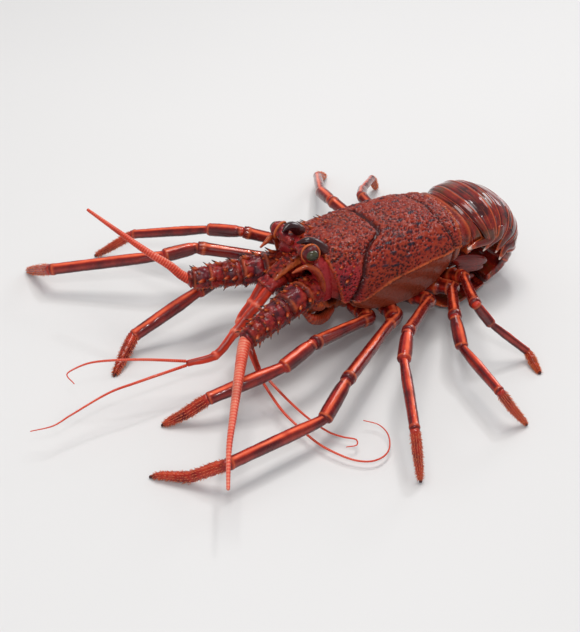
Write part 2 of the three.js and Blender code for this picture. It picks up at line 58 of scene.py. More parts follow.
# The part frame's origin, in the frame of the tables
MIDDLE = np.array([-3.5, -112.4, 0.0])
SIDES = (("left", 1), ("right", -1))

# How far meshes stay above the floor, and the distance below which points are joined
FLOOR_GAP = 0.03
JOIN_DISTANCE = 1e-4
# Rows of a limb's round end
CAP_ROWS = 4
# Rows of a shield's inner face, and its thickness
INNER_ROWS = 8
SHIELD_THICKNESS = 3.4
# Sides of a spine and of a hair
THORN_SIDES = 7
HAIR_SIDES = 5

# The shell's crest, half width and lower edge by distance forward of its rear edge
CREST_HEIGHT = [[-3, 60.5], [6, 62.5], [25, 66], [54, 67], [75, 67], [92, 65.5], [100, 61]]
HALF_WIDTH = [[-3, 28], [6, 30], [20, 32.5], [45, 33.5], [66, 32.5], [80, 30], [90, 26], [100, 21]]
EDGE_HEIGHT = [[-3, 40], [4, 38], [14, 33], [24, 27], [35, 23.5], [53, 23], [71, 26], [82, 31], [100, 40]]
# The shields' borders, as distance forward by angle down from the crest
SHIELD_BORDER = [[0, 53], [21, 54], [33, 63], [45, 69], [62, 73], [75, 74.5], [90, 77], [150, 83]]
FRONT_EDGE = [[0, 98], [12, 98], [28, 94.5], [50, 94], [70, 93], [90, 91], [150, 85]]
REAR_EDGE = [[0, -2.6], [25, -0.6], [50, 2], [90, 4], [150, 4]]
# How the shell turns in and down below its widest place, by angle
UNDER_INSET = [[90, 0], [95, 0.1], [120, 1.4], [140, 3.6], [150, 6.5], [158, 11]]
UNDER_RISE = [[90, 1], [95, 0.85], [120, 0.35], [140, 0], [150, 0.1], [158, 0.16]]
# The power that squares the shoulders of the shell and the tail
SHOULDER = 0.84
# The shell is widest at this share of its height above the lower edge, and ends at this angle below
WAIST = 0.42
LAST_ANGLE = 158

# The middle of the tail's curl, and each ring's last border by its leaning angle about it
CURL = np.array([0.0, 23.0, 31.0])
TAIL_BORDERS = [-27, 3, 36, 69, 104, 168]
TAIL_WIDTHS = [[26, 25.4], [28.4, 28.5], [28.5, 27.5], [27.5, 26.5], [26.5, 24.6], [24.4, 19]]
TAIL_RADII = [34, 33, 32, 31.6, 31.5, 31.8]
TAIL_HEIGHTS = [21, 21, 21, 20, 18, 11]
# Tips of the side lobes of the first rings
LOBE_TIPS = [[28.6, 2.5, 42.6], [26, 17, 35.5], [24.5, 28.5, 29.8], [26.6, 30, 25.6]]
# The share of a tail section that its back takes, and the middle of the tail's opening
BACK_SHARE = 0.78
TAIL_ROOT = np.array([0, 4.6, 36.4])
# Half width of a fan plate by share of its length, as a share of the widest
FAN_WIDTH = [[0, 0.62], [0.35, 0.88], [0.72, 1.0], [0.88, 0.84], [0.97, 0.45], [1.0, 0.02]]
# The pairs of swimming paddles by ring, middle, half sizes and lean in degrees
PADDLES = [
    (2, (21.5, 11, 28.4), (3, 14.5, 4.6), -18),
    (3, (21, 12, 23.5), (2.2, 11, 3.2), -18),
    (5, (16.6, 12.5, 20), (2, 10, 3.2), -14),
    (6, (15, 11.5, 12), (1.7, 10, 2.8), -6),
]

# Each leg's start, knee, wrist, ankle and toe
LEG_JOINTS = {
    "left_1": [[29, -69, 19], [49, -122, 32], [52, -144, 26], [42, -186, 15], [33, -210, 0]],
    "left_2": [[34, -53, 18], [81, -122, 26], [91, -143, 15], [98, -208, 17], [68, -237, 0]],
    "left_3": [[33, -28, 20], [75, -77, 38], [92, -92, 35], [138, -119, 29], [147, -120, 0]],
    "left_4": [[30, -9, 21], [71, -40, 33], [86, -46, 23], [130, -55, 23], [139, -41, 0]],
    "left_5": [[30, -1, 26], [74, -28, 39], [81, -21, 27], [91, 0, 6], [106, -3, 0]],
    "right_1": [[-26, -70, 19], [-40, -124, 32], [-36, -146, 28], [-38, -188, 11], [-22, -210, 0]],
    "right_2": [[-30, -55, 18], [-75, -123, 31], [-79, -144, 30], [-120, -200, 17], [-151, -202, 0]],
    "right_3": [[-32, -37, 18], [-69, -94, 36], [-87, -108, 33], [-129, -138, 18], [-144, -158, 0]],
    "right_4": [[-30, -15, 22], [-81, -20, 30], [-100, -15, 26], [-137, 8, 14], [-154, 26, 0]],
    "right_5": [[-29, -3, 24], [-78, 1, 29], [-91, 12, 24], [-113, 36, 15], [-121, 46, 0]],
}
# Where each pair of legs comes out of the body
HIP_PLACES = [[15, -68], [16, -53], [17, -37], [17.5, -21], [18, -6]]
HIP_HEIGHT = 18
# Radii of each pair's thigh, wrist, shin and toe, and how far some feet bend up or down in the middle
LEG_RADII = [[3.7, 4.8, 4.0, 3.3], [3.6, 4.7, 3.6, 3.2], [3.4, 4.4, 3.1, 2.6], [3.5, 4.3, 3.1, 2.5],
             [3.1, 3.4, 2.4, 2.1]]
FOOT_BOW = {"left_2": -3.4, "left_1": -0.6, "left_4": -0.3}
# Rows of setae around a foot, and steps along it
HAIR_ROWS = 14
FOOT_STEPS = 60

# Routes of the antenna stalks and their whips, and the stalks' half width and half height
STALKS = {
    "left": [[15.5, -99, 42.5], [19.5, -113, 42.5], [23, -126, 41], [26, -138, 38.5], [29.5, -153.5, 34.5]],
    "right": [[-15.5, -99, 42.5], [-19.5, -113, 42], [-23.5, -126, 41.5], [-27.5, -138, 41], [-33, -152.5, 40.5]],
}
STALK_RADII = [[8.2, 9.0], [8.4, 8.6], [7.8, 7.8], [6.9, 7.1], [5.2, 5.4]]
WHIPS = {
    "left": [[34.5, -158.5, 33.6], [56, -175, 33], [84, -196, 32], [103, -210, 31], [126.5, -225, 28.5]],
    "right": [[-35.6, -157, 43.8], [-39.5, -162, 49.5], [-47, -170, 56], [-61, -176, 60.5], [-92, -186, 68]],
}
# Routes of the feelers' stalks and branches
FEELER_STALKS = {
    "left": [[3.4, -121.4, 43.4], [7, -133, 37], [13, -151, 29], [20, -168, 24], [16, -183, 22]],
    "right": [[-3.4, -121.4, 43], [-1.5, -130, 34], [1.5, -140, 26], [17, -144, 20.5], [33, -148, 15]],
}
FEELERS = {
    "left_outer": [[15.2, -184, 23.4], [8, -205, 28], [2, -221, 30], [-4, -232, 29], [-6.5, -240, 27],
                   [-5, -246.5, 26], [3.5, -246.5, 25]],
    "left_inner": [[16, -184.2, 21], [16.7, -216, 22], [15.8, -232, 21], [18, -257, 17], [20, -268, 16],
                   [15.5, -279, 14]],
    "right_outer": [[34.6, -149.4, 14.2], [43, -150.6, 12], [65, -153.2, 9], [78, -152, 6.5], [96, -150, 5],
                    [107, -146.5, 4.5], [117, -141, 4], [122.5, -134, 4], [122.5, -126, 4], [118, -119, 4],
                    [109, -113.5, 4.6], [100, -113, 5], [93.5, -118.5, 6]],
    "right_inner": [[34.6, -147, 14.2], [44.5, -146.2, 11.5], [60.5, -145, 8.5], [78, -143.5, 7],
                    [91, -139.5, 5], [98.5, -135.5, 5], [104, -131, 5], [108, -133.5, 5], [106.5, -139, 5]],
}

# Distances forward, each with the half width, top and lower edge there
MOUTH_FRAME = [[80.5, 13, 27, 24.5], [88, 17, 29.5, 25], [93, 19, 37, 27], [98.3, 19, 46, 32]]
ANTENNULAR_PLATE = [[98.6, 5.4, 60.5, 42], [106, 5.2, 58, 41], [113, 5, 54.5, 40], [118.8, 4.6, 50, 41]]
BREASTPLATE_WIDTH = [[2, 12.6], [12, 12.4], [24, 12], [36, 11.5], [48, 10.6], [60, 9.4], [70, 8], [80, 6]]
BREASTPLATE_LOW = 14

# The side ridge's angle by distance forward
RIDGE = [[-3, 92], [17, 86], [30, 82], [52, 86], [65, 95], [72, 112], [80, 128], [100, 134]]
# The rear groove's distance from the rear edge by angle
GROOVE = [[0, 12.6], [17, 13.2], [39, 10.6], [71, 6.6], [97, 5.5], [150, 5.5]]
# Dark spots of the shell by distance forward and angle
SPOTS = [[60.8, 43], [54.2, 40.8], [53.2, 54], [43.6, 64], [30.4, 64], [32.6, 46.5], [45, 36.8], [39.4, 50.5],
         [36.6, 34.8], [19.6, 56.8], [68.4, 64.5], [60.8, 67.8], [53.6, 70.5], [18, 29], [28.2, 28], [48, 22],
         [37, 16], [26, 10]]
# Large spines of the shell's front by angle, distance forward and length
FRONT_SPINES = [(14, 84, 5.5), (30, 84, 5.5), (46, 88, 5), (62, 86, 5.5), (84, 84, 6), (26, 74, 4.5), (62, 79, 4),
                (40, 80, 4), (12, 74, 4.2), (12, 64, 3.6), (50, 79, 3.4), (74, 82, 4), (96, 87, 4), (24, 92, 3.5),
                (38, 92, 3), (90, 79, 3), (70, 90, 3.4), (36, 70, 3.4), (24, 64, 3)]

# The camera's bearing, height and roll in degrees, and where it points in the frame of the tables
CAMERA_TURN, CAMERA_RISE, CAMERA_ROLL = 56.0, 33.5, 1.0
CAMERA_TARGET = (16.5, -116, 30)
SENSOR_WIDTH = 36
CLIP_START = 0.01
# Each light's name, place in metres, size, power property and tint, all pointing at one place
LIGHTS = [
    ("key", (-0.15, 0.1, 1.3), 0.6, "key_power", (1, 0.985, 0.96)),
    ("glint_rear", (-0.3, 0.45, 1.1), 0.12, "glint_power", (0.96, 0.97, 1)),
    ("glint_side", (0.75, -0.5, 1.0), 0.12, "glint_power", (0.96, 0.97, 1)),
    ("fill", (0.9, -0.7, 0.8), 0.8, "fill_power", (0.96, 0.97, 1)),
    ("back", (-0.45, 1.15, 0.5), 0.45, "fill_power", (0.95, 0.96, 1)),
]
LIGHT_TARGET = Vector((0.0, 0.0, 0.03))
SKY_COLOUR = (0.95, 0.96, 1.0, 1)
FLOOR_SIZE = 4
CORNEA_LIGHT = (0.05, 0.045, 0.02)


# Noise and curves

def chance(cell, seed):
    """A steady value from 0 to 1 for each cell of whole numbers."""
    c = cell.astype(np.int64)
    h = c[..., 0] * 374761393 + c[..., 1] * 668265263 + c[..., 2] * 1103515245 + seed * 1274126177
    h = (h ^ (h >> 13)) * 1274126177
    return ((h ^ (h >> 16)) & 0xFFFFFF) / 0xFFFFFF


def lumps(points, size, seed=0):
    """Soft noise from -1 to 1 whose lumps are about size across."""
    q = points / size
    base = np.floor(q)
    f = q - base
    f = f * f * (3 - 2 * f)
    total = 0
    for corner in product((0, 1), repeat=3):
        c = np.array(corner)
        share = np.prod(np.where(c == 1, f, 1 - f), axis=-1)
        total = total + share * chance(base + c, seed)
    return total * 2 - 1


def granules(points, size, seed):
    """Distance to the nearest of scattered points, as a share of size, and a steady value of that point."""
    q = points / size
    base = np.floor(q)
    nearest = np.full(q.shape[:-1], 9.0)
    value = np.zeros_like(nearest)
    for corner in product((-1, 0, 1), repeat=3):
        cell = base + np.array(corner)
        spot = cell + np.stack([chance(cell, seed + k) for k in (1, 2, 3)], axis=-1)
        d = np.linalg.norm(q - spot, axis=-1)
        near = d < nearest
        value = np.where(near, chance(cell, seed + 4), value)
        nearest = np.where(near, d, nearest)
    return nearest, value


def knobs(points, size, seed, sharp):
    """Scattered knobs of height 1, about size apart."""
    return np.clip(1 - granules(points, size, seed)[0] * sharp, 0, 1)


def value_at(stations, place):
    """A smooth value between stations, each of them a place and the value there."""
    table = np.asarray(stations, float)
    xs, ys = table[:, 0], table[:, 1]
    last = len(xs) - 1
    p = np.clip(place, xs[0], xs[-1])
    before = np.maximum(np.arange(len(xs)) - 1, 0)
    after = np.minimum(np.arange(len(xs)) + 1, last)
    slope = (ys[after] - ys[before]) / (xs[after] - xs[before])
    i = np.clip(np.searchsorted(xs, p, side="left") - 1, 0, last - 1)
    span = xs[i + 1] - xs[i]
    t = (p - xs[i]) / span
    start = 2 * t**3 - 3 * t**2 + 1
    tilt = (t**3 - 2 * t**2 + t) * span * slope[i] + (t**3 - t**2) * span * slope[i + 1]
    return start * ys[i] + (1 - start) * ys[i + 1] + tilt


def values_at(table, place):
    """Smooth values between stations that each hold a place and several values."""
    table = np.asarray(table, float)
    return [value_at(table[:, [0, k]], place) for k in range(1, table.shape[1])]


def step_up(low, high, x):
    """Rises smoothly from 0 at low to 1 at high."""
    t = np.clip((x - low) / (high - low), 0, 1)
    return t * t * (3 - 2 * t)


def hill(x, middle, wide):
    """A bell of height 1 around middle."""
    return np.exp(-(((x - middle) / wide) ** 2))


def unit(v):
    """Each vector at length 1."""
    return v / np.maximum(np.linalg.norm(v, axis=-1, keepdims=True), 1e-9)


def between(a, b, share):
    """What lies at a share of the way from a to b."""
    return a + (b - a) * share


def mirrored(route, side):
    """Points of the animal's left side, or of its right side if side is -1."""
    return np.array(route, float) * [side, 1, 1]


def ways_along(route):
    """Distances along a route from its start to each of its points."""
    return np.concatenate([[0], np.cumsum(np.linalg.norm(np.diff(route, axis=0), axis=1))])


def on_curve(route, ways, places):
    """Points of the smooth curve through a route, whose points lie at ways, at places along it."""
    return np.stack([value_at(np.column_stack([ways, route[:, k]]), places) for k in range(3)], axis=1)


def closing(v, cap):
    """The share along a body between its end caps, and how far each row reaches out from its middle."""
    body = np.clip((v - cap) / (1 - 2 * cap), 0, 1)
    return body, np.where(v < cap, v / cap, np.where(v > 1 - cap, (1 - v) / cap, 1.0))


def boxed(u, v, cap, start, length, power, sizes):
    """Rounded box sections along the animal, from sizes(forward) of half width, top and lower edge.

    It returns the points, how far each row reaches out, and the cosine and sine around.
    """
    body, inset = closing(v, cap)
    forward = start + length * body
    wide, top, low = sizes(forward)
    c, s = np.cos(u * 2 * math.pi), np.sin(u * 2 * math.pi)
    x = wide * np.sign(c) * np.abs(c) ** power * inset
    z = (top + low) / 2 + (top - low) / 2 * np.sign(s) * np.abs(s) ** power * inset
    return np.stack([x, -forward, z], axis=-1), inset, c, s


# Meshes

def net(mould, around, along):
    """A closed bmesh from a grid, where mould(u, v) gives points in mm, marks and offsets outwards or None."""
    bm = bmesh.new()
    bmesh.ops.create_grid(bm, x_segments=around, y_segments=along, size=0.5, calc_uvs=False)
    mesh = bpy.data.meshes.new("net")
    bm.to_mesh(mesh)
    bm.free()
    count = len(mesh.vertices)
    flat = np.empty(count * 3)
    mesh.vertices.foreach_get("co", flat)
    flat = flat.reshape(-1, 3)
    ui = np.rint((flat[:, 0] + 0.5) * around).astype(int)
    vi = np.rint((flat[:, 1] + 0.5) * along).astype(int)
    u, v = np.meshgrid(np.linspace(0, 1, around + 1), np.linspace(0, 1, along + 1))
    points, marks, rise = mould(u, v)
    if rise is not None:
        du = np.gradient(points, axis=1)
        dv = np.gradient(points, axis=0)
        du[:, 0] = du[:, -1] = points[:, 1] - points[:, -2]
        normal = unit(np.cross(du, dv))
        outward = np.sum(normal * (points - points[:, :-1].mean(axis=1)[:, None]))
        points = points + normal * np.sign(outward) * rise[..., None]
    place = points[vi, ui]
    place[:, 2] = np.maximum(place[:, 2], FLOOR_GAP)
    mesh.vertices.foreach_set("co", np.ascontiguousarray(place, dtype=np.float32).ravel())
    for name, values in marks.items():
        layer = mesh.attributes.new(name, "FLOAT", "POINT")
        layer.data.foreach_set("value", np.ascontiguousarray(values[vi, ui], dtype=np.float32))
    bm = bmesh.new()
    bm.from_mesh(mesh)
    bpy.data.meshes.remove(mesh)
    bmesh.ops.remove_doubles(bm, verts=bm.verts, dist=JOIN_DISTANCE)
    rims = [e for e in bm.edges if e.is_boundary]
    if rims:
        bmesh.ops.holes_fill(bm, edges=rims, sides=0)
    bmesh.ops.recalc_face_normals(bm, faces=bm.faces)
    if bm.calc_volume(signed=True) < 0:
        bmesh.ops.reverse_faces(bm, faces=bm.faces)
    return bm


def transported(points):
    """Directions along a route, and beside and above it without twist."""
    ahead = np.gradient(points, axis=0)
    ahead = unit(ahead)
    side = np.cross([0, 0, 1], ahead[0])
    if np.dot(side, side) < 0.02:
        side = np.cross([1, 0, 0], ahead[0])
    sides = [side / np.linalg.norm(side)]
    for direction in ahead[1:]:
        side = sides[-1] - direction * np.dot(sides[-1], direction)
        sides.append(side / np.linalg.norm(side))
    sides = np.array(sides)
    return ahead, sides, np.cross(ahead, sides)


def limb(route, radii, around=24, step=1.0, domes=(0.5, 0.5), shape=None):
    """A closed limb with round ends along a route, each radius one value or a wide and a high one.

    shape(turn, along, share, points) gives marks and an offset outwards.
    """
    route = np.asarray(route, float)
    radii = np.array([np.broadcast_to(r, 2) for r in radii], float)
    way = ways_along(route)
    total = way[-1]
    count = max(int(math.ceil(total / step)), 4)
    turns = np.linspace(0, math.pi / 2, CAP_ROWS + 1)
    ways = np.concatenate([np.zeros(CAP_ROWS), np.linspace(0, total, count + 1), np.full(CAP_ROWS, total)])
    factor = np.concatenate([np.sin(turns[:-1]), np.ones(count + 1), np.cos(turns[1:])])
    centre = on_curve(route, way, np.linspace(0, total, count + 1))
    wide, high = values_at(np.column_stack([way, radii]), ways)
    ahead, sides, tops = transported(centre)
    pick = np.concatenate([np.zeros(CAP_ROWS, int), np.arange(count + 1), np.full(CAP_ROWS, count)])
    shift = np.concatenate([-np.cos(turns[:-1]) * domes[0] * wide[0], np.zeros(count + 1),
                            np.sin(turns[1:]) * domes[1] * wide[-1]])
    rows = len(ways)

    def mould(u, v):
        row = np.rint(v * (rows - 1)).astype(int)
        turn = u * 2 * math.pi
        at = pick[row]
        out = sides[at] * (np.cos(turn) * wide[row] * factor[row])[..., None]
        out = out + tops[at] * (np.sin(turn) * high[row] * factor[row])[..., None]
        points = centre[at] + ahead[at] * shift[row][..., None] + out
        if not shape:
            return points, {}, None
        marks, rise = shape(turn, ways[row] + shift[row], ways[row] / total, points)
        return points, marks, rise * factor[row]

    return net(mould, around, rows - 1)


def add_cone(bm, root, tip, radius, sides, blunt, cap_tris):
    """Adds a cone whose tip has the share blunt of its radius. It returns its corners and root to tip."""
    line = tip - root
    turn = line.to_track_quat("Z", "Y").to_matrix().to_4x4()
    made = bmesh.ops.create_cone(bm, cap_ends=True, cap_tris=cap_tris, segments=sides, radius1=radius,
                                 radius2=radius * blunt, depth=line.length,
                                 matrix=Matrix.Translation((root + tip) / 2) @ turn)
    return made["verts"], line


def is_tip(vert, root, line):
    """1 at a cone's tip and 0 at its root."""
    return 1.0 if (vert.co - root).dot(line) > line.length_squared * 0.5 else 0.0


def thorns(places):
    """Many slim spines from (root, tip, radius), each with a mark from 0 at its root to 1 at its tip."""
    bm = bmesh.new()
    tip_mark = bm.verts.layers.float.new("tip")
    for root, tip, radius in places:
        root = Vector(root)
        verts, line = add_cone(bm, root, Vector(tip), radius, THORN_SIDES, 0.12, False)
        for vert in verts:
            vert[tip_mark] = is_tip(vert, root, line)
        edges = {e for v in verts for f in v.link_faces for e in f.edges
                 if abs((e.verts[0].co - e.verts[1].co).dot(line)) > 0.5 * line.length_squared}
        cut = bmesh.ops.subdivide_edges(bm, edges=list(edges), cuts=2, use_grid_fill=False)
        for vert in {g for g in cut["geom_inner"] if isinstance(g, bmesh.types.BMVert)}:
            share = (vert.co - root).dot(line) / line.length_squared
            axis = root + line * share
            vert.co = axis + (vert.co - axis) * (1 - 0.35 * math.sin(math.pi * share))
            vert[tip_mark] = share
    bmesh.ops.recalc_face_normals(bm, faces=bm.faces)
    return bm


def tufts(hairs):
    """Many fine stiff hairs in one mesh, each with its patch of the map at its root's place."""
    bm = bmesh.new()
    tip_mark = bm.verts.layers.float.new("tip")
    uv = bm.loops.layers.uv.new("OFBake")
    for root, tip, radius, spot in hairs:
        root = Vector(root)
        verts, line = add_cone(bm, root, Vector(tip), radius, HAIR_SIDES, 0.2, True)
        for vert in verts:
            share = is_tip(vert, root, line)
            vert[tip_mark] = share
            for k, loop in enumerate(vert.link_loops):
                loop[uv].uv = (spot[0] + 0.0015 * math.cos(k + share), spot[1] + 0.0015 * math.sin(k + 2 * share))
    return bm


def piece(name, shapes, paint, nodes=()):
    """One object from one or more bmeshes in mm, put in place in metres and tied to the frame."""
    mesh = bpy.data.meshes.new(name)
    whole = bmesh.new()
    for bm in shapes if isinstance(shapes, (list, tuple)) else [shapes]:
        part = bpy.data.meshes.new("part")
        bm.to_mesh(part)
        bm.free()
        whole.from_mesh(part)
        bpy.data.meshes.remove(part)
    bmesh.ops.translate(whole, verts=whole.verts, vec=Vector(-MIDDLE))
    bmesh.ops.scale(whole, verts=whole.verts, vec=(MM, MM, MM))
    whole.to_mesh(mesh)
    whole.free()
    mesh.polygons.foreach_set("use_smooth", [True] * len(mesh.polygons))
    mesh.materials.append(finish_of(paint))
    made = bpy.data.objects.new(name, mesh)
    bpy.context.scene.collection.objects.link(made)
    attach(made, "root")
    if nodes:
        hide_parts(*nodes)
    return made


# Materials

class Paint:
    """Builds one material's nodes in a few calls."""

    def __init__(self, name, rough=0.35, coat=0.5, coat_rough=0.12, specular=0.5):
        self.material = bpy.data.materials.new(name)
        self.material.use_nodes = True
        self.tree = self.material.node_tree
        self.shader = self.tree.nodes["Principled BSDF"]
        for socket, value in (("Roughness", rough), ("Coat Weight", coat), ("Coat Roughness", coat_rough),
                              ("Specular IOR Level", specular)):
            self.shader.inputs[socket].default_value = value
        self.coords = self.tree.nodes.new("ShaderNodeTexCoord").outputs["Object"]

    def node(self, kind, **inputs):
        """A node with values or sockets fed to its inputs by name."""
        made = self.tree.nodes.new(kind)
        for name, value in inputs.items():
            self.feed(made.inputs[name.replace("_", " ")], value)
        return made

    def feed(self, socket, value):
        """Links a socket to an input, or sets a value on it."""
        if isinstance(value, bpy.types.NodeSocket):
            self.tree.links.new(value, socket)
        else:
            socket.default_value = value

    def mark(self, name):
        """The meshes' float attribute of this name."""
        made = self.tree.nodes.new("ShaderNodeAttribute")
        made.attribute_name = name
        return made.outputs["Fac"]

    def noise(self, scale, detail=3, stretch=None):
        """Noise of a scale, stretched by a factor for each direction."""
        coords = self.coords
        if stretch:
            mapping = self.node("ShaderNodeMapping", Vector=self.coords, Scale=stretch)
            coords = mapping.outputs["Vector"]
        made = self.node("ShaderNodeTexNoise", Vector=coords, Scale=scale, Detail=detail, Roughness=0.55)
        return made.outputs["Fac"]

    def cells(self, scale):
        """Distance to the nearest of scattered points."""
        return self.node("ShaderNodeTexVoronoi", Vector=self.coords, Scale=scale).outputs["Distance"]

    def spread(self, value, low, high, to_low=0.0, to_high=1.0):
        """Maps the range from low to high onto the range from to_low to to_high."""
        made = self.node("ShaderNodeMapRange", Value=value)
        for socket, limit in (("From Min", low), ("From Max", high), ("To Min", to_low), ("To Max", to_high)):
            made.inputs[socket].default_value = limit
        return made.outputs["Result"]

    def calculate(self, operation, a, b):
        """One calculation with two values or sockets."""
        made = self.tree.nodes.new("ShaderNodeMath")
        made.operation = operation
        self.feed(made.inputs[0], a)
        self.feed(made.inputs[1], b)
        return made.outputs[0]

    def plus(self, a, b):
        """The sum of two values or sockets."""
        return self.calculate("ADD", a, b)

    def times(self, a, b):
        """The product of two values or sockets."""
        return self.calculate("MULTIPLY", a, b)

    def shade(self, colour):
        """A colour from its property's name or its three values. A socket stays as it is."""
        if isinstance(colour, bpy.types.NodeSocket):
            return colour
        if isinstance(colour, str):
            colour = getattr(bpy.context.scene.lobster_colours, colour)
        return (*colour, 1)

    def ground(self, value, *stops):
        """The colour under all others by value, from stops of a place and a colour."""
        made = self.node("ShaderNodeValToRGB", Fac=value)
        stops_made = made.color_ramp.elements
        for k, (place, colour) in enumerate(stops):
            stop = stops_made[k] if k < 2 else stops_made.new(place)
            stop.position = place
            stop.color = self.shade(colour)
        self.colour = made.outputs["Color"]

    def over(self, share, colour, strength=None):
        """Lays a colour over the others, where a mark or a socket says."""
        share = self.mark(share) if isinstance(share, str) else share
        made = self.tree.nodes.new("ShaderNodeMix")
        made.data_type = "RGBA"
        self.feed(made.inputs["Factor"], share if strength is None else self.times(share, strength))
        self.feed(made.inputs[6], self.colour)
        self.feed(made.inputs[7], self.shade(colour))
        self.colour = made.outputs[2]

    def finish(self, rough=None, height=None, strength=0.3, depth=0.0003):
        """Feeds the colour, roughness and bump to the shader, and returns the material."""
        self.feed(self.shader.inputs["Base Color"], self.colour)
        if rough is not None:
            self.feed(self.shader.inputs["Roughness"], rough)
        if height is not None:
            bump = self.node("ShaderNodeBump", Height=height, Strength=strength, Distance=depth)
            self.feed(self.shader.inputs["Normal"], bump.outputs["Normal"])
        return self.material


FINISHES = {}


def finish_of(paint):
    """The material that a paint function makes, made once."""
    if paint not in FINISHES:
        FINISHES[paint] = paint()
    return FINISHES[paint]


def shell_paint():
    """Red shell: an orange brown net around dark pits, blue spots, a brown lower band and orange rims."""
    p = Paint("Carapace", 0.34, 0.32, 0.05, 0.1)
    fine = p.noise(520)
    p.ground(p.plus(p.times(p.noise(55), 0.6), p.times(fine, 0.4)),
             (0.36, "shell_dark"), (0.5, "shell_red"), (0.64, "shell_warm"))
    p.over(p.spread(p.mark("grain"), 0.5, 0.9), "granule", 0.7)
    p.over("cheek", "cheek", 0.8)
    p.over("band", "band", 0.75)
    p.over(p.spread(p.mark("grain"), 0.4, 0.1), "pit", 0.9)
    p.over(p.spread(p.cells(900), 0.3, 0.12), "pit", 0.5)
    p.over("spot", "spot")
    # The deep mark is dark joints, grooves and edges, and also painted shade on the body skin where it shows
    # between the shields
    p.over("deep", "pit")
    p.over("rim", "rim")
    bumps = p.plus(p.times(p.cells(1400), 0.6), p.noise(2600, 2))
    return p.finish(p.spread(fine, 0.3, 0.7, 0.2, 0.42), bumps, 0.4)


def spine_paint():
    """Spines that go from the shell's red at the root through orange to a dark tip."""
    p = Paint("Spines", 0.3, 0.35, 0.06, 0.14)
    p.ground(p.plus(p.mark("tip"), p.times(p.noise(300, 2), 0.25)),
             (0.12, "shell_red"), (0.4, "granule"), (0.66, "rim"), (0.88, "claw"))
    return p.finish(None, p.noise(1800, 2), 0.2, 0.0002)


def tail_paint():
    """Glossy dark red plates with olive patches, fine dots, orange lines across and white tips."""
    p = Paint("Tail plates", 0.24, 0.8, 0.04, 0.08)
    fine = p.noise(600)
    p.ground(p.noise(60, 3, (1, 1.6, 1.6)), (0.38, "tail_dark"), (0.5, "tail_red"), (0.62, "olive"))
    p.over(p.spread(p.cells(520), 0.22, 0.1), "rim", 0.35)
    p.over("deep", "pit")
    p.over("rim", "tail_line")
    p.over("pale", "tip_white")
    return p.finish(p.spread(fine, 0.3, 0.7, 0.1, 0.28), p.plus(fine, p.times(p.cells(900), 0.5)), 0.16)


def leg_paint():
    """Red legs with a light line above, dark lower sides, olive patches that are partly a painted sheen, and
    orange collars.
    """
    p = Paint("Legs", 0.28, 0.55, 0.05, 0.1)
    fine = p.noise(700)
    p.ground(p.noise(90), (0.36, "leg_dark"), (0.5, "leg_red"), (0.66, "leg_warm"))
    # The olive band is partly the legs' own olive colour and partly a painted sheen on their flanks
    p.over("band", "leg_olive", 0.8)
    p.over("dark", "leg_stripe")
    p.over("pale", "leg_line")
    p.over("rim", "collar")
    specks = p.spread(p.cells(800), 0.2, 0.08)
    p.over(specks, "rim", 0.3)
    return p.finish(p.spread(fine, 0.3, 0.7, 0.14, 0.32), p.plus(fine, p.times(specks, 0.8)), 0.2)


def whip_paint():
    """Ringed orange brown whips and feelers, with a painted highlight along one side of the antenna whips."""
    p = Paint("Rings", 0.34, 0.25, 0.1, 0.15)
    # On the antenna whips the ring mark carries a painted highlight along one side as well as the rings
    p.ground(p.plus(p.times(p.mark("ring"), 0.6), p.times(p.noise(60, 2), 0.4)),
             (0.2, "ring_dark"), (0.5, "feeler"), (0.85, "ring_pale"))
    p.over("dark", "leg_stripe")
    return p.finish(None, p.noise(2400, 2), 0.2, 0.0002)


def under_paint():
    """Pale orange shell of the underside."""
    p = Paint("Underside", 0.4, 0.2, 0.15, 0.2)
    broad = p.noise(80)
    p.ground(broad, (0.35, "under_dark"), (0.6, "under"))
    p.over(p.spread(p.cells(300), 0.3, 0.12), "under_dark")
    return p.finish(p.spread(broad, 0.3, 0.7, 0.3, 0.55), p.noise(900), 0.3, 0.0004)


def cornea_paint():
    """Dark green brown cornea with fine facets."""
    p = Paint("Cornea", 0.15, 0.5, 0.03, 0.15)
    p.ground(p.noise(120, 2), (0.4, "cornea"), (0.7, CORNEA_LIGHT))
    return p.finish(None, p.cells(5200), 0.12, 0.0001)


def hair_paint():
    """Stiff orange setae, paler at the tip."""
    p = Paint("Setae", 0.5, 0.1, 0.3)
    p.ground(p.plus(p.mark("tip"), p.times(p.noise(500, 1), 0.2)), (0.1, "leg_warm"), (0.9, "hair"))
    return p.finish()


def horn_paint():
    """Dark purple glossy horns, red at the root."""
    p = Paint("Horns", 0.24, 0.5, 0.05, 0.14)
    p.ground(p.plus(p.mark("tip"), p.times(p.noise(160), 0.5)),
             (0.15, "shell_red"), (0.45, "horn"), (0.9, "claw"))
    return p.finish(None, p.noise(1500, 2), 0.2, 0.0002)


def mouth_paint():
    """Orange mouth parts with paler serrated edges."""
    p = Paint("Mouth parts", 0.34, 0.3, 0.1, 0.16)
    p.ground(p.noise(160), (0.35, "leg_warm"), (0.65, "rim"))
    p.over("rim", "hair")
    p.over("dark", "shell_red")
    return p.finish(None, p.noise(1200), 0.25)


# Shell and tail shapes

def shell_point(angle, forward):
    """The shell's surface by angle down from the crest, plus to the left, and distance forward."""
    side = np.sign(angle)
    a = np.abs(angle)
    crest = value_at(CREST_HEIGHT, forward)
    wide = value_at(HALF_WIDTH, forward)
    low = value_at(EDGE_HEIGHT, forward)
    waist = low + WAIST * (crest - low)
    turn = np.radians(np.minimum(a, 90))
    x = wide * np.clip(np.sin(turn), 0, 1) ** SHOULDER
    z = waist + (crest - waist) * np.clip(np.cos(turn), 0, 1) ** SHOULDER
    below = a > 90
    x = np.where(below, wide - value_at(UNDER_INSET, a), x)
    z = np.where(below, low + value_at(UNDER_RISE, a) * (waist - low), z)
    return np.stack([side * x, -forward, z], axis=-1)


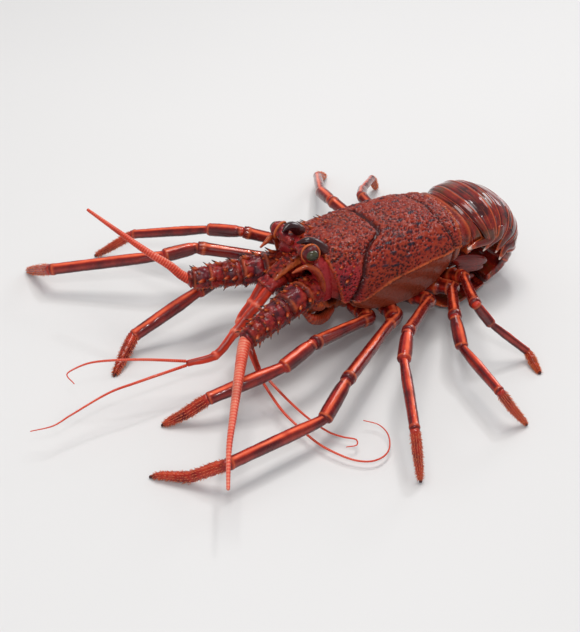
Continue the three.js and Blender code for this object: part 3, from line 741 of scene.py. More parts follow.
def even_angles(u):
    """Angles around the shell that leave even distances between neighbours."""
    angles = np.linspace(-LAST_ANGLE, LAST_ANGLE, 4 * LAST_ANGLE + 1)
    way = ways_along(shell_point(angles, np.full(angles.shape, 45.0)))
    return np.interp(u * way[-1], way, angles)


def shell_skin(points, angle, forward, rear, fore):
    """Height in mm and marks of the shell's surface."""
    a = np.abs(angle)
    from_rear = forward - rear
    from_fore = fore - forward
    wander = np.stack([lumps(points, 3.5, seed) for seed in (31, 32, 33)], axis=-1)
    near, value = granules(points + wander * 0.8, 1.95, 3)
    small, _ = granules(points + wander * 0.3, 1.6, 21)
    low = step_up(58, 76, a)
    pit = step_up(0.7, 0.22, near) * (1 - low) + step_up(0.55, 0.25, small) * low
    grain = np.clip(1 - pit + 0.2 * lumps(points, 7, 5), 0, 1)
    ridge_at = value_at(RIDGE, forward)
    band = step_up(1.5, 4, a - ridge_at)
    grain = grain * (1 - band) + band * (0.35 + 0.4 * knobs(points, 1.25, 41, 1.4))
    rise = 0.75 * (grain - 0.5) * (1 - 0.5 * band) + 0.45 * (value - 0.5) * (1 - low) * (1 - band)
    rise += 0.35 * lumps(points, 8, 8) * (1 - band) + 0.25 * lumps(points, 22, 9)
    ridge = hill(a, ridge_at, 1.3)
    rise += 1.1 * ridge * (0.75 + 0.25 * np.sin(forward * 2.4))
    is_rear = rear < 30
    groove = np.where(is_rear, hill(from_rear, value_at(GROOVE, a), 1.1), 0)
    rise -= 1.3 * groove
    lip = np.where(is_rear, hill(from_rear, 0.9, 0.7), 0)
    rise += 0.4 * lip
    edge = np.where(is_rear, hill(from_fore, 0, 1.6), hill(from_rear, 0, 1.5))
    rise -= 2.0 * edge
    rise -= np.where(is_rear, 0, 1.2 * hill(from_fore, 0, 0.8))
    deep = np.clip(edge * 1.2, 0, 1) * 0.9 + groove * 0.85
    rim = np.maximum(lip * 0.8, ridge * 0.85)
    rim = np.maximum(rim, hill(a, 141, 3) * 0.6)
    rim = np.maximum(rim, np.where(is_rear, 0, hill(from_fore, 1.0, 0.8) * 0.7))
    rim = rim * np.clip(0.8 + 0.5 * lumps(points, 5, 12), 0, 1)
    spot = np.zeros_like(rise)
    for place, at in SPOTS:
        reach = np.hypot((forward - place) / 2.5, (a - at) * 0.58 / 1.1) + 0.25 * lumps(points, 2, 15)
        spot = np.maximum(spot, step_up(1.2, 0.7, reach))
    rise += 0.45 * spot
    cheek = step_up(72, 80, forward) * step_up(45, 70, a) * step_up(3, -1, a - ridge_at)
    patch = np.hypot((forward - 86) / 3.5, (a - 84) / 9)
    spot = np.maximum(spot, step_up(1.2, 0.7, patch) * 0.7)
    return rise, {"grain": grain, "rim": np.clip(rim, 0, 1), "deep": np.clip(deep, 0, 1), "spot": spot * 0.85,
                  "band": band, "cheek": cheek}


def shield(rear_border, fore_border, around, along):
    """A closed shield: its outer skin from rear to front, then the smooth inner face back again."""
    rows = along + INNER_ROWS

    def mould(u, v):
        row = np.rint(v * rows)
        outside = row <= along
        share = np.where(outside, row / along, np.clip(1 - (row - along - 1) / (INNER_ROWS - 2), 0, 1))
        angle = even_angles(u)
        rear = value_at(rear_border, np.abs(angle)) + 0.2
        fore = value_at(fore_border, np.abs(angle)) - 0.2
        forward = between(rear, fore, share)
        points = shell_point(angle, forward)
        beside = shell_point(angle + 0.2, forward) - shell_point(angle - 0.2, forward)
        ahead = shell_point(angle, forward + 0.2) - shell_point(angle, forward - 0.2)
        normal = unit(np.cross(ahead, beside))
        rise, marks = shell_skin(points, angle, forward, rear, fore)
        taper = step_up(0, 0.02, u) * step_up(1, 0.98, u)
        rise = np.where(outside, rise * (0.2 + 0.8 * taper), -SHIELD_THICKNESS * (0.3 + 0.7 * taper))
        points = points + normal * rise[..., None]
        points[-1] = points[0]
        return points, marks, None

    return net(mould, around, rows)


def tail_up(lean):
    """The direction out of the curl at a leaning angle in degrees."""
    turn = np.radians(lean)
    return np.stack([np.zeros_like(turn), np.sin(turn), np.cos(turn)], axis=-1)


def tail_point(u, lean, wide, radius, height, centre=None):
    """A tail section around u from 0 to 1, in the plane that leans about the curl.

    It returns the points, their angles from the crest and where the back is.
    """
    up = tail_up(lean)
    back = u <= BACK_SHARE
    angle = np.where(back, -90 + 180 * u / BACK_SHARE, 0.0)
    a = np.radians(np.abs(angle))
    x = np.where(back, np.sign(angle) * wide * np.sin(a) ** SHOULDER,
                 wide * (1 - 2 * (u - BACK_SHARE) / (1 - BACK_SHARE)))
    h = np.where(back, height * np.clip(np.cos(a), 0, 1) ** SHOULDER, -1.5 * (1 - (x / wide) ** 2))
    origin = centre if centre is not None else CURL + up * (radius - height)[..., None]
    points = origin + up * h[..., None]
    points[..., 0] = x
    return points, angle, back


def tail_plate(index):
    """One tail ring with its tucked front, cross ridges, grooves and raised rear edge."""
    fore_width, rear_width = TAIL_WIDTHS[index]

    def joining(u, body):
        """The first ring, from the shell's rear opening to the first border."""
        first, angle, back = tail_point(u, np.zeros_like(u), fore_width, 0, np.full_like(u, 23.6), TAIL_ROOT)
        last, _, _ = tail_point(u, np.full_like(u, TAIL_BORDERS[0] + 1.4), rear_width,
                                np.full_like(u, TAIL_RADII[0]), np.full_like(u, TAIL_HEIGHTS[0]))
        along = body[..., None]
        return between(first, last, along), between(TAIL_ROOT, np.array([0, 17, 42]), along), angle, back

    def curled(u, body):
        """A later ring, between two borders of the curl."""
        start, end = TAIL_BORDERS[index - 1], TAIL_BORDERS[index]
        lean = start - 1 + (end - start + (2.2 if index < 5 else 0)) * body
        radius, height = [between(table[index - 1], table[index], body) for table in (TAIL_RADII, TAIL_HEIGHTS)]
        points, angle, back = tail_point(u, lean, between(fore_width, rear_width, body), radius, height)
        return points, CURL + tail_up(lean) * (radius - height * 0.6)[..., None], angle, back

    def mould(u, v):
        body, inset = closing(v, 0.05)
        points, middle, angle, back = (curled if index else joining)(u, body)
        points = between(middle, points, inset[..., None])
        a = np.abs(angle)
        length = np.where(back, 1.0, 0.0)
        tuck = step_up(0.2, 0.05, body)
        line = hill(body, 0.34, 0.022)
        rear = step_up(0.84, 0.93, body)
        groove = hill(body, 0.43, 0.03) * step_up(88, 70, a)
        rise = (0.2 if index == 0 else 1.3) * -tuck + 0.35 * line - 0.4 * groove + 0.45 * rear
        rise += 0.12 * lumps(points, 9, 30 + index) + 0.5 * hill(a, 74, 8) * hill(body, 0.6, 0.3)
        rise = rise * length * inset
        fine_line = hill(body, 0.64, 0.018) * 0.55 * step_up(-0.3, 0.3, lumps(points, 14, 46))
        rim = np.maximum(np.maximum(line * 0.85, hill(body, 0.93, 0.028) * 0.9), fine_line)
        rim = rim * np.clip(0.85 + 0.4 * lumps(points, 4, 40), 0, 1)
        if index == 0:
            rim = np.maximum(rim, step_up(0.26, 0.12, body) * 0.75)
        deep = np.clip((0 if index == 0 else 0.7) * tuck + groove * 0.75 + hill(body, 1.0, 0.02) * 0.6, 0, 1)
        deep = np.maximum(deep, 0.5 * hill(body, 0.7, 0.1) * step_up(0.1, 0.5, lumps(points, 8, 44)))
        return points, {"rim": rim * length, "deep": deep * length}, rise

    return net(mould, 170, 64)


def flap(middle, half, lean, side):
    """A swimming paddle: a thin leaf with a thick root and fine ribs."""
    turn = math.radians(lean)
    back = np.array([0, math.cos(turn), math.sin(turn)])
    up = np.array([0, -math.sin(turn), math.cos(turn)])
    centre = mirrored(middle, side)

    def mould(u, v):
        t = v * math.pi
        around = u * 2 * math.pi
        long = -np.cos(t)
        points = centre + back * (half[1] * long)[..., None]
        points = points + up * (half[2] * np.sin(t) * np.sin(around) * (1 - 0.12 * long))[..., None]
        points[..., 0] += half[0] * np.sin(t) * np.cos(around)
        ribs = 0.16 * np.sin(np.sin(around) * 22) * np.sin(t)
        edge = hill(np.abs(np.sin(around)), 1, 0.06)
        return points, {"rim": edge * 0.2 + 0 * u, "deep": 0.3 + 0 * u, "pale": hill(long, -1, 0.12) * 0.5}, ribs

    return net(mould, 48, 30)


def fan_plate(width, length, thick, spread, lean, place):
    """A tail fan plate with long ribs, lying flat and pointing forward from its root."""
    rows = np.array(Matrix.Rotation(lean, 3, "Y") @ Matrix.Rotation(spread, 3, "Z"))

    def mould(u, v):
        around = u * 2 * math.pi
        share = np.clip((v - 0.04) / 0.94, 0, 1)
        inset = np.clip(v / 0.04, 0, 1)
        x = width * value_at(FAN_WIDTH, share) * inset * np.cos(around)
        z = thick / 2 + thick / 2 * np.sign(np.sin(around)) * np.abs(np.sin(around)) ** 0.6 * inset
        points = np.stack([x, -share * length, z], axis=-1) @ rows.T + np.array(place)
        ribs = 0.14 * np.cos(x * 3.1) * (np.sin(around) > 0.1) * inset * step_up(1, 0.8, share)
        marks = {"rim": np.clip(hill(share, 0.97, 0.05) + 0.5 * hill(np.abs(np.cos(around)), 1, 0.05), 0, 1),
                 "deep": 0.3 * (np.cos(x * 3.1) < -0.4)}
        return points, marks, ribs

    return net(mould, 72, 60)


def lobe_shape(seed):
    """A side lobe's orange edges and white tip."""
    def shape(turn, along, share, points):
        edge = hill(np.abs(np.sin(turn)), 1, 0.1)
        marks = {"rim": np.clip(edge * 0.8 + 0.6 * hill(share, 0.84, 0.08), 0, 1), "deep": 0.35 * (1 - edge),
                 "pale": step_up(0.88, 0.95, share)}
        return marks, 0.15 * lumps(points, 3, seed) + 0.2 * edge
    return shape


# Legs

def leg_shape(seed, collars=(), foot=False, olive=0.0, shade=0.0):
    """Lines, skin and collars of one length of a leg, each collar a place, a width and a height."""
    def shape(turn, along, share, points):
        around = turn + 0.1 * lumps(points, 12, seed)
        height = np.sin(around)
        ends = step_up(0.0, 0.06, share) * step_up(1.0, 0.94, share)
        dark = np.maximum(step_up(0.12, -0.35, height) * 0.92, hill(np.cos(around - 2.25), 1, 0.05) * 0.85)
        dark = np.maximum(dark, hill(np.cos(around - 0.62), 1, 0.04) * 0.75) * ends
        dark = np.maximum(dark, shade)
        worn = np.clip(0.85 + 0.5 * lumps(points, 5, seed + 2), 0, 1)
        pale = hill(np.cos(around - 1.3), 1, 0.035) * ends * worn
        # The olive band just above each side is partly the legs' own olive and partly a painted sheen
        sides = np.maximum(hill(np.cos(around - 0.1), 1, 0.14), hill(np.cos(around - 2.95), 1, 0.14))
        band = olive * ends * sides
        dark = dark * (1 - 0.6 * band)
        rim = np.zeros_like(share)
        rise = 0.08 * lumps(points, 3.2, seed + 5) + 0.06 * lumps(points, 1.4, seed + 6)
        for place, wide, tall in collars:
            rim = np.maximum(rim, hill(share, place, wide * 0.5))
            gap = hill(share, place + wide * 1.6, wide * 0.6)
            rise = rise + tall * hill(share, place, wide) - 0.6 * tall * gap
            dark = np.maximum(dark, 0.8 * gap)
        if foot:
            knob = knobs(points, 1.8, seed + 9, 1.8)
            rise = rise + 0.6 * knob * step_up(0.98, 0.8, share)
            rim = np.maximum(rim, knob * 0.55)
            dark = np.maximum(dark * 0.3, step_up(0.9, 0.97, share))
            pale = pale * 0.25
        return {"dark": np.clip(dark, 0, 1), "pale": np.clip(pale, 0, 1), "rim": np.clip(rim * 0.85, 0, 1),
                "band": np.clip(band, 0, 1)}, rise
    return shape


def leg_points(name):
    """A leg's side, its pair counted from the front, and its points from the root to the toe."""
    side = 1 if name.startswith("left") else -1
    pair = int(name[-1]) - 1
    hip = HIP_PLACES[pair]
    root = np.array([side * hip[0], hip[1], HIP_HEIGHT], float)
    start, knee, wrist, ankle, toe = [np.array(p, float) for p in LEG_JOINTS[name]]
    return side, pair, root, start, knee, wrist, ankle, toe


def foot_line(name):
    """The route of a foot, from ankle to toe, and its radii."""
    _, pair, _, _, _, _, ankle, toe = leg_points(name)
    toe_radius = LEG_RADII[pair][3]
    bow = (ankle + toe) / 2 + [0, 0, FOOT_BOW.get(name, 0.3)]
    low = ankle + (toe - ankle) * 0.86 + [0, 0, 0.6]
    low[2] = max(low[2], toe_radius * 0.62)
    end = toe + [0, 0, 0.9]
    return ([ankle, between(ankle, bow, 0.4), bow, low, end],
            [toe_radius * 0.95, toe_radius, toe_radius * 0.9, toe_radius * 0.6, 0.85])


def build_leg(name):
    """A leg's three lengths: the thigh, the shin with its short knee length, and the foot."""
    side, pair, root, start, knee, wrist, ankle, _ = leg_points(name)
    thigh, wrist_radius, shin, toe_radius = LEG_RADII[pair]
    seed = 100 + pair * 7 + (50 if side < 0 else 0)
    upper = [root, start, *(between(start, knee, share) for share in (0.18, 0.5, 0.88)),
             knee - unit(knee - start) * 0.6]
    upper_radii = [4.2, thigh * 1.1, thigh * 0.92, thigh, thigh * 1.08, thigh * 1.12]
    skin = leg_shape(seed, [(0.965, 0.02, 0.3), (0.3, 0.02, 0.25), (0.16, 0.03, 0.4)], shade=0.6, olive=0.45)
    piece(f"thigh_{name}", limb(upper, upper_radii, 44, 1.0, (0.4, 0.25), skin), leg_paint,
          [f"leg_{name}_thigh"])
    wrist_route = [knee, *(between(knee, wrist, share) for share in (0.25, 0.8, 0.98))]
    wrist_radii = [thigh * 0.84, wrist_radius * 0.86, wrist_radius * 0.92, wrist_radius * 0.84]
    shin_route = [between(knee, wrist, 0.97), *(between(wrist, ankle, share) for share in (0.08, 0.3, 0.65)),
                  ankle]
    shin_radii = [shin * 0.8, shin * 0.86, shin, shin * 0.98, toe_radius * 1.08]
    piece(f"shin_{name}", [
        limb(wrist_route, wrist_radii, 44, 0.9, (0.7, 0.35),
             leg_shape(seed + 20, [(0.96, 0.04, 0.22), (0.05, 0.04, 0.2)], olive=1.0)),
        limb(shin_route, shin_radii, 44, 0.9, (0.6, 0.3),
             leg_shape(seed + 30, [(0.975, 0.018, 0.25)], olive=0.5)),
    ], leg_paint, [f"leg_{name}_shin"])
    piece(f"foot_{name}", limb(*foot_line(name), 36, 0.7, (0.5, 0.6), leg_shape(seed + 40, foot=True)), leg_paint,
          [f"leg_{name}_foot"])


def foot_setae(name, rng):
    """Rows of short stiff setae along a foot, as (root, tip, radius, place in the map)."""
    route, radii = foot_line(name)
    way = ways_along(route)
    dense = np.linspace(0, way[-1], FOOT_STEPS)
    centre = on_curve(np.array(route), way, dense)
    ahead, sides, tops = transported(centre)
    radius = np.interp(dense, way, radii)
    hairs = []
    for row in range(HAIR_ROWS):
        turn = row / HAIR_ROWS * 2 * math.pi + 0.2
        for k in range(3, FOOT_STEPS - 3, 2):
            t = k + rng.uniform(-0.8, 0.8)
            i = int(np.clip(round(t), 0, FOOT_STEPS - 1))
            out = sides[i] * math.cos(turn) + tops[i] * math.sin(turn)
            root = centre[i] + out * radius[i] * 0.9
            long = rng.uniform(0.9, 1.6) * (0.7 + 0.4 * (radius[i] / radius[0]))
            tip = root + (out * 0.8 + ahead[i] * 0.75 + rng.normal(0, 0.12, 3)) * long
            if tip[2] < 0.2:
                tip[2] = 0.2 + rng.uniform(0, 0.3)
            if root[2] < 0.3:
                continue
            hairs.append((root, tip, 0.26, (row / HAIR_ROWS, k / FOOT_STEPS)))
    return hairs


def build_hips():
    """The joints of the hips, between the legs and the shell."""
    skin = []
    for name in LEG_JOINTS:
        side, pair, root, start, knee, *_ = leg_points(name)
        route = [root - [side * 2, 0, -1], (root + start) / 2 + [0, 0, 1], between(start, knee, 0.05)]
        skin.append(limb(route, [5.4, 5.2, 4.2], 30, 1.0, (0.6, 0.5),
                         leg_shape(170 + pair, [(0.5, 0.1, 0.5), (0.9, 0.05, 0.3)])))
    piece("hips", skin, leg_paint)


# Head pieces

def shell_spines(rng):
    """Forward spines of both shields, larger to the front, as (root, tip, radius)."""
    spines = [(side * angle, forward, long) for _, side in SIDES for angle, forward, long in FRONT_SPINES]
    for _ in range(150):
        angle = rng.uniform(-92, 92)
        forward = rng.uniform(8, 92)
        spines.append((angle, forward, rng.uniform(0.9, 1.7)))
    made = []
    for angle, forward, long in spines:
        skin = shell_point(np.array([angle]), np.array([float(forward)]))[0]
        out = unit(skin - [0, skin[1] + 6, 44.0])
        made.append((skin - out * 1.2, skin + out * long * 0.62 + [0, -long * 0.8, 0], 0.3 + 0.22 * long))
    return made


def stalk_spines(name, rng):
    """Strong spines in rows along an antenna stalk with small ones between, as (root, tip, radius)."""
    places = []
    for row, size in ((20, 5.6), (60, 3.4), (95, 5.8), (130, 3.4), (165, 5.6), (215, 3.2), (270, 4.4),
                      (325, 3.4)):
        for place in (0.45, 0.95, 1.5, 2.1, 2.65, 3.15, 3.6):
            places.append((place + rng.uniform(-0.12, 0.12), row + rng.uniform(-12, 12),
                           size * rng.uniform(0.75, 1.15)))
    for _ in range(90):
        places.append((rng.uniform(0.2, 3.8), rng.uniform(0, 360), rng.uniform(0.9, 1.9)))
    route, radii = np.array(STALKS[name]), np.array(STALK_RADII)
    made = []
    for place, degrees, long in places:
        i = min(int(place), 3)
        ahead = unit(route[i + 1] - route[i])
        side = unit(np.cross([0, 0, 1], ahead))
        wide, high = between(radii[i], radii[i + 1], place - i)
        turn = math.radians(degrees)
        out = side * math.cos(turn) * wide + np.cross(ahead, side) * math.sin(turn) * high
        spot = between(route[i], route[i + 1], place - i) + out
        out = unit(out)
        made.append((spot - out * 1.0, spot + out * long * 0.55 + ahead * long * 0.85, 0.34 + 0.26 * long))
    return made


def stalk_shape(seed, rims=()):
    """Knobbly skin of an antenna stalk, with rims where its lengths meet."""
    def shape(turn, along, share, points):
        near, value = granules(points, 3.0, seed)
        grain = np.clip(1 - near * 1.3, 0, 1)
        rise = 0.75 * (grain - 0.35) * (0.5 + value) + 0.45 * lumps(points, 5, seed + 1)
        rim, deep = np.zeros_like(share), np.zeros_like(share)
        for place in rims:
            rim = np.maximum(rim, hill(share, place, 0.035))
            deep = np.maximum(deep, hill(share, place + 0.06, 0.03))
            rise = rise + 0.6 * hill(share, place, 0.04) - 1.0 * hill(share, place + 0.075, 0.03)
        edge = np.clip(0.5 + 1.4 * lumps(points, 5, seed + 4), 0, 1)
        return {"grain": np.clip(grain + 0.15, 0, 1), "rim": rim * 0.5 * edge, "deep": np.clip(deep, 0, 1) * 0.8,
                "spot": step_up(0.1, 0.45, lumps(points, 7, seed + 3)) * 0.55,
                "cheek": step_up(-0.1, 0.4, lumps(points, 9, seed + 8)) * 0.5}, rise
    return shape


def build_antenna(name):
    """One spiny stalk in two lengths with its spines, and its whip."""
    route = np.array(STALKS[name], float)
    radii = np.array(STALK_RADII)
    ahead = unit(route[3] - route[1])
    base = limb([route[0], route[1], route[2] - ahead * 0.5], radii[:3], 96, 0.8, (0.2, 0.12),
                stalk_shape(60, [0.42, 0.9]))
    piece(f"antenna_{name}_base", base, shell_paint, [f"antenna_{name}_base"])
    arm = [
        limb([route[2] - ahead * 0.2, between(route[2], route[3], 0.85)], radii[2:4], 96, 0.8, (0.25, 0.15),
             stalk_shape(64, [0.12, 0.85])),
        limb([between(route[2], route[3], 0.78), route[3], route[4]], [radii[3] * 0.9, radii[3], radii[4]],
             84, 0.7, (0.3, 0.35), stalk_shape(68, [0.35, 0.88])),
    ]
    piece(f"antenna_{name}_arm", arm, shell_paint, [f"antenna_{name}_arm"])
    rng = np.random.default_rng(11 if name == "left" else 12)
    piece(f"antenna_{name}_spines", thorns(stalk_spines(name, rng)), spine_paint)
    points = np.array([route[4] + unit(route[4] - route[3]) * 0.3, *WHIPS[name]])
    thickest, pitch = (3.7, 2.4) if name == "left" else (3.0, 1.5)
    ways = ways_along(points)
    thick = between(thickest, 0.9, (ways / ways[-1]) ** 0.8)

    def rings(turn, along, share, points):
        ring = hill((along / pitch) % 1.0, 0.5, 0.22)
        beads = step_up(0.2, 0.9, np.sin(turn * 7 + np.floor(along / pitch) * 2.1)) * ring
        # A painted highlight along one side of the whip, which lifts the ring mark towards the pale ring colour
        painted_highlight = 0.35 * step_up(-0.2, 0.8, np.cos(turn - 2.2))
        marks = {"ring": np.clip(0.25 + ring * 0.4 + beads * 0.2 + painted_highlight, 0, 1),
                 "dark": 0.3 * step_up(0.2, 0.7, lumps(points, 10, 71))}
        return marks, (0.14 * ring + 0.12 * beads) * (1 - 0.6 * share)

    piece(f"antenna_{name}_whip", limb(points, thick, 28, 0.3, (0.3, 0.7), rings), whip_paint,
          [f"antenna_{name}_whip"])


def build_feeler(name, side):
    """One feeler's stalk, its root and its two thin branches."""
    route = np.array(FEELER_STALKS[name], float)

    def joints(turn, along, share, points):
        collar = np.max([hill(along, w, 1.3) for w in ways_along(route)[1:-1]], axis=0)
        stripe = hill(np.cos(turn - 1.2), 1, 0.14)
        marks = {"ring": 0.45 + 0.3 * collar, "dark": np.clip(stripe * 0.6 * (1 - collar), 0, 1)}
        return marks, 0.5 * collar + 0.12 * lumps(points, 2.5, 81)

    def rings(turn, along, share, points):
        ring = hill((along / 1.1) % 1.0, 0.5, 0.25)
        return {"ring": 0.35 + 0.5 * ring}, 0.07 * ring

    piece(f"feeler_{name}_stalk", limb(route, [3, 2.9, 2.6, 2.3, 1.8], 36, 0.7, (0.5, 0.6), joints), whip_paint,
          [f"feeler_{name}_stalk"])
    root = mirrored([[2.6, -112, 46], [3.2, -118, 45.2], [3.5, -123.5, 42.4]], side)
    piece(f"feeler_{name}_root", limb(root, [3.4, 3.8, 3.4], 36, 0.6, (0.5, 0.4), stalk_shape(74, [0.9])),
          shell_paint)
    for branch in (f"{name}_outer", f"{name}_inner"):
        thick = np.linspace(0.85, 0.25, len(FEELERS[branch]))
        piece(f"feeler_{branch}", limb(FEELERS[branch], thick, 12, 0.4, (0.5, 1.0), rings), whip_paint,
              [f"feeler_{branch}"])


def hoop(centre, axis, wide, high, tube):
    """A closed ring about an axis."""
    axis = unit(np.asarray(axis, float))
    across = unit(np.cross([0, 0, 1], axis))
    up = np.cross(axis, across)

    def mould(u, v):
        turn, roll = v * 2 * math.pi, u * 2 * math.pi
        out = across * np.cos(turn)[..., None] + up * np.sin(turn)[..., None]
        middle = across * (wide * np.cos(turn))[..., None] + up * (high * np.sin(turn))[..., None]
        points = centre + middle + out * (tube * np.cos(roll))[..., None]
        points = points + axis * (tube * np.sin(roll))[..., None]
        return points, {"rim": 0.9 + 0 * u, "grain": 0.6 + 0 * u}, None

    return net(mould, 14, 56)


def rib(route, radii):
    """A rim, spine or filling of the head: orange above if slim, and in the cheeks' colour if thick."""
    slim = radii[0] < 4

    def shape(turn, along, share, points):
        high = step_up(0.1, 0.8, np.sin(turn + 0.4 * lumps(points, 4, 99)))
        near, _ = granules(points, 1.6, 98)
        return {"rim": (0.1 + 0.4 * high) * slim, "grain": 0.3 + 0.5 * step_up(0.2, 0.6, near),
                "cheek": (0.0 if slim else 0.9) + 0 * high}, 0.2 * lumps(points, 2, 97)

    return limb(route, radii, 24, 0.5, (0.5, 0.5), shape)


def build_eye(name, side):
    """One eye on its stalk, in a ring."""
    centre = mirrored([16.2, -102.4, 66.6], side)
    axis = unit(mirrored([1.0, -0.35, 0.25], side))
    route = [*mirrored([[3, -102.5, 64.6], [9, -103.5, 65.4], [12.5, -102.9, 66.0]], side), centre + axis * 0.5]
    stalk = limb(route, [2.2, 3, 4, [4.9, 5.2]], 40, 0.6, (0.5, 0.75), stalk_shape(90))
    ring = hoop(centre - axis * 0.6, axis, 5.0, 5.2, 0.75)
    piece(f"eye_stalk_{name}", [stalk, ring], shell_paint, [f"eye_{name}"])
    eye = limb([centre + axis * 1.6, centre + axis * 3.2], [[3.8, 3.4], [3.7, 3.2]], 40, 0.4, (0.2, 0.7))
    piece(f"eye_{name}", eye, cornea_paint)


def build_horns():
    """The two horns that bend forward over the eyes."""
    def ribs(turn, along, share, points):
        knob = knobs(points, 1.6, 95, 1.6) * step_up(0.7, 0.3, share)
        return {"tip": share}, 0.35 * knob + 0.15 * lumps(points, 3, 96)

    route = [[11.8, -89, 61.5], [11.6, -92, 65], [10.9, -96, 68.8], [9.4, -100.8, 71.2], [7.2, -106, 70.6]]
    radii = [[4.6, 3.4], [4.3, 3.4], [3.6, 3.0], [2.6, 2.2], [0.5, 0.45]]
    made = [limb(mirrored(route, side), radii, 40, 0.6, (0.3, 0.6), ribs) for _, side in SIDES]
    piece("horns", made, horn_paint, ["carapace_front"])


def build_mouth():
    """The frame of the mouth, the rims of the head, the jaw legs and the mouth parts."""
    def frame_mould(u, v):
        points, inset, c, _ = boxed(u, v, 0.06, 80.5, 17.8, 0.6, lambda y: values_at(MOUTH_FRAME, y))
        grain = knobs(points, 3.2, 131, 1.2)
        return points, {"grain": grain, "rim": hill(np.abs(c), 1, 0.2) * 0.4}, (0.6 * grain - 0.3) * inset

    piece("mouth_frame", net(frame_mould, 110, 40), shell_paint, ["mouth_frame"])
    hook = [[16.6, -115, 58.4], [17.4, -111, 59.8], [19, -106.1, 61], [21, -102, 57.9], [22, -99, 51.5],
            [22, -98, 44.5], [21, -100, 39.8]]
    socket = [[4, -95.5, 57], [12, -97, 57.4], [17.5, -96.5, 55]]
    neck = [[15, -94.5, 57], [17.5, -95, 49], [17.5, -95, 38]]
    lines = ((hook, [0.5, 1.2, 1.6, 1.9, 2.0, 2.0, 1.2]), (socket, [6, 6, 5]), (neck, [5.4, 6.2, 6]))
    ribs = [rib(mirrored(route, side), radii) for _, side in SIDES for route, radii in lines]
    piece("head_ribs", ribs, shell_paint)

    made = []
    for name, side in SIDES:
        def serrated(turn, along, share, points):
            teeth = hill((along / 2.0) % 1.0, 0.5, 0.28) * step_up(0.1, 0.6, side * np.cos(turn))
            stripe = hill(np.cos(turn - 1.3), 1, 0.15)
            dark = np.clip(stripe + 0.7 * step_up(0.2, -0.5, np.sin(turn)), 0, 1)
            return {"rim": np.clip(teeth, 0, 1) * 0.7, "dark": dark}, 0.7 * teeth + 0.2 * lumps(points, 3, 140)

        def grown(route, radii, around, end=0.6):
            return limb(mirrored(route, side), radii, around, 0.7, (0.5, end), serrated)

        body = grown([[6, -82, 18], [11, -90, 18], [17, -101, 23], [13, -106, 29]], [3.6, 3.9, 2.9, 1.4], 40)
        piece(f"jaw_leg_{name}", body, leg_paint, [f"jaw_leg_{name}"])
        made += [
            grown([[2.5, -86, 20], [4, -97, 21], [4.5, -104, 25], [3, -107, 30]], [2.6, 2.8, 2.0, 1.0], 32),
            grown([[7.5, -95, 27], [6, -101, 29], [1.5, -104, 31]], [[3.4, 4.2], [3.6, 4.4], [2.6, 3.4]], 36,
                  0.7),
            grown([[15, -92, 29], [17, -99, 33], [15, -103.5, 40]], [[2.0, 3.4], [2.4, 4.0], [1.4, 2.2]], 32,
                  0.7),
        ]
    piece("mouth_parts", made, mouth_paint)


def build_antennular_plate():
    """The plate between the antennae, with its spines."""
    def mould(u, v):
        points, inset, _, s = boxed(u, v, 0.06, 98.6, 20.2, 0.5, lambda y: values_at(ANTENNULAR_PLATE, y))
        wide = values_at(ANTENNULAR_PLATE, -points[..., 1])[0]
        grain = knobs(points, 2.0, 151, 1.3)
        edge = hill(np.abs(points[..., 0]), wide, 1.1) * (s > 0.2)
        return points, {"grain": grain, "rim": edge * 0.8}, (0.5 * grain - 0.2 + 0.5 * edge) * inset

    spines = []
    for forward, x, long in [(101, 3.5, 3.5), (106, 3.6, 4), (111, 3.4, 3.6), (116, 3, 3), (104, 1.2, 2),
                             (109, 1.4, 2)]:
        top = float(values_at(ANTENNULAR_PLATE, np.array([forward]))[1][0])
        for _, side in SIDES:
            root = np.array([side * x, -forward, top - 1])
            tip = root + [side * 0.5, -long * 0.9, 1 + long * 0.6]
            spines.append((root, tip, 0.3 + 0.22 * long))
    piece("antennular_plate", net(mould, 96, 44), shell_paint, ["antennular_plate"])
    piece("antennular_spines", thorns(spines), spine_paint)


def body_skin(u, v):
    """Points, marks and folds of the skin that closes the shell and joins it to the tail and the head. Its middle
    is painted dark as shade, where it shows through the gap between the shields.
    """
    body, inset = closing(v, 0.04)
    forward = -6.5 + 100 * body
    points = shell_point(even_angles(u * 0.93 + 0.035), forward)
    middle_height = 0.5 * (value_at(EDGE_HEIGHT, forward) + value_at(CREST_HEIGHT, forward))
    middle = np.stack([0 * u, -forward, middle_height], axis=-1)
    points = between(middle, points, (0.94 * inset)[..., None])
    folds = 0.3 * np.sin(forward * 0.9 + 2 * lumps(points, 12, 160)) * step_up(86, 80, forward)
    near, _ = granules(points, 1.7, 161)
    marks = {"grain": 0.55 + 0.45 * step_up(0.25, 0.6, near) * step_up(84, 88, forward),
             # Painted shade on the middle of the skin, where it shows through the gap between the shields
             "deep": step_up(1.5, 4, forward) * step_up(90, 86, forward) * 0.95,
             "rim": hill(forward, -4.6, 0.6) * 0.7, "cheek": 0.6 * step_up(86, 90, forward)}
    return points, marks, folds * inset


def breastplate(u, v):
    """Points, marks and skin of the plate between the legs, with a seam behind each pair."""
    def sizes(forward):
        low, high = value_at(EDGE_HEIGHT, forward), value_at(CREST_HEIGHT, forward)
        return value_at(BREASTPLATE_WIDTH, forward) + 0.5, low + 0.2 * WAIST * (high - low) - 1, BREASTPLATE_LOW

    points, inset, _, s = boxed(u, v, 0.03, 2, 78, 0.6, sizes)
    seam = hill((-points[..., 1] - 4) / 15.5 % 1.0, 0.5, 0.09) * (s < 0)
    knob = knobs(points, 3.5, 163, 1.4) * (s < 0)
    return points, {}, (-0.9 * seam + 0.5 * knob + 0.3 * lumps(points, 6, 165)) * inset


# The add-on

def colour(name, description, value):
    """A property for a colour."""
    return bpy.props.FloatVectorProperty(name=name, description=description, subtype="COLOR", size=3, min=0,
                                         max=1, default=value)


def size(name, description, value, **more):
    """A property for a size or a strength."""
    return bpy.props.FloatProperty(name=name, description=description, default=value, min=0, **more)


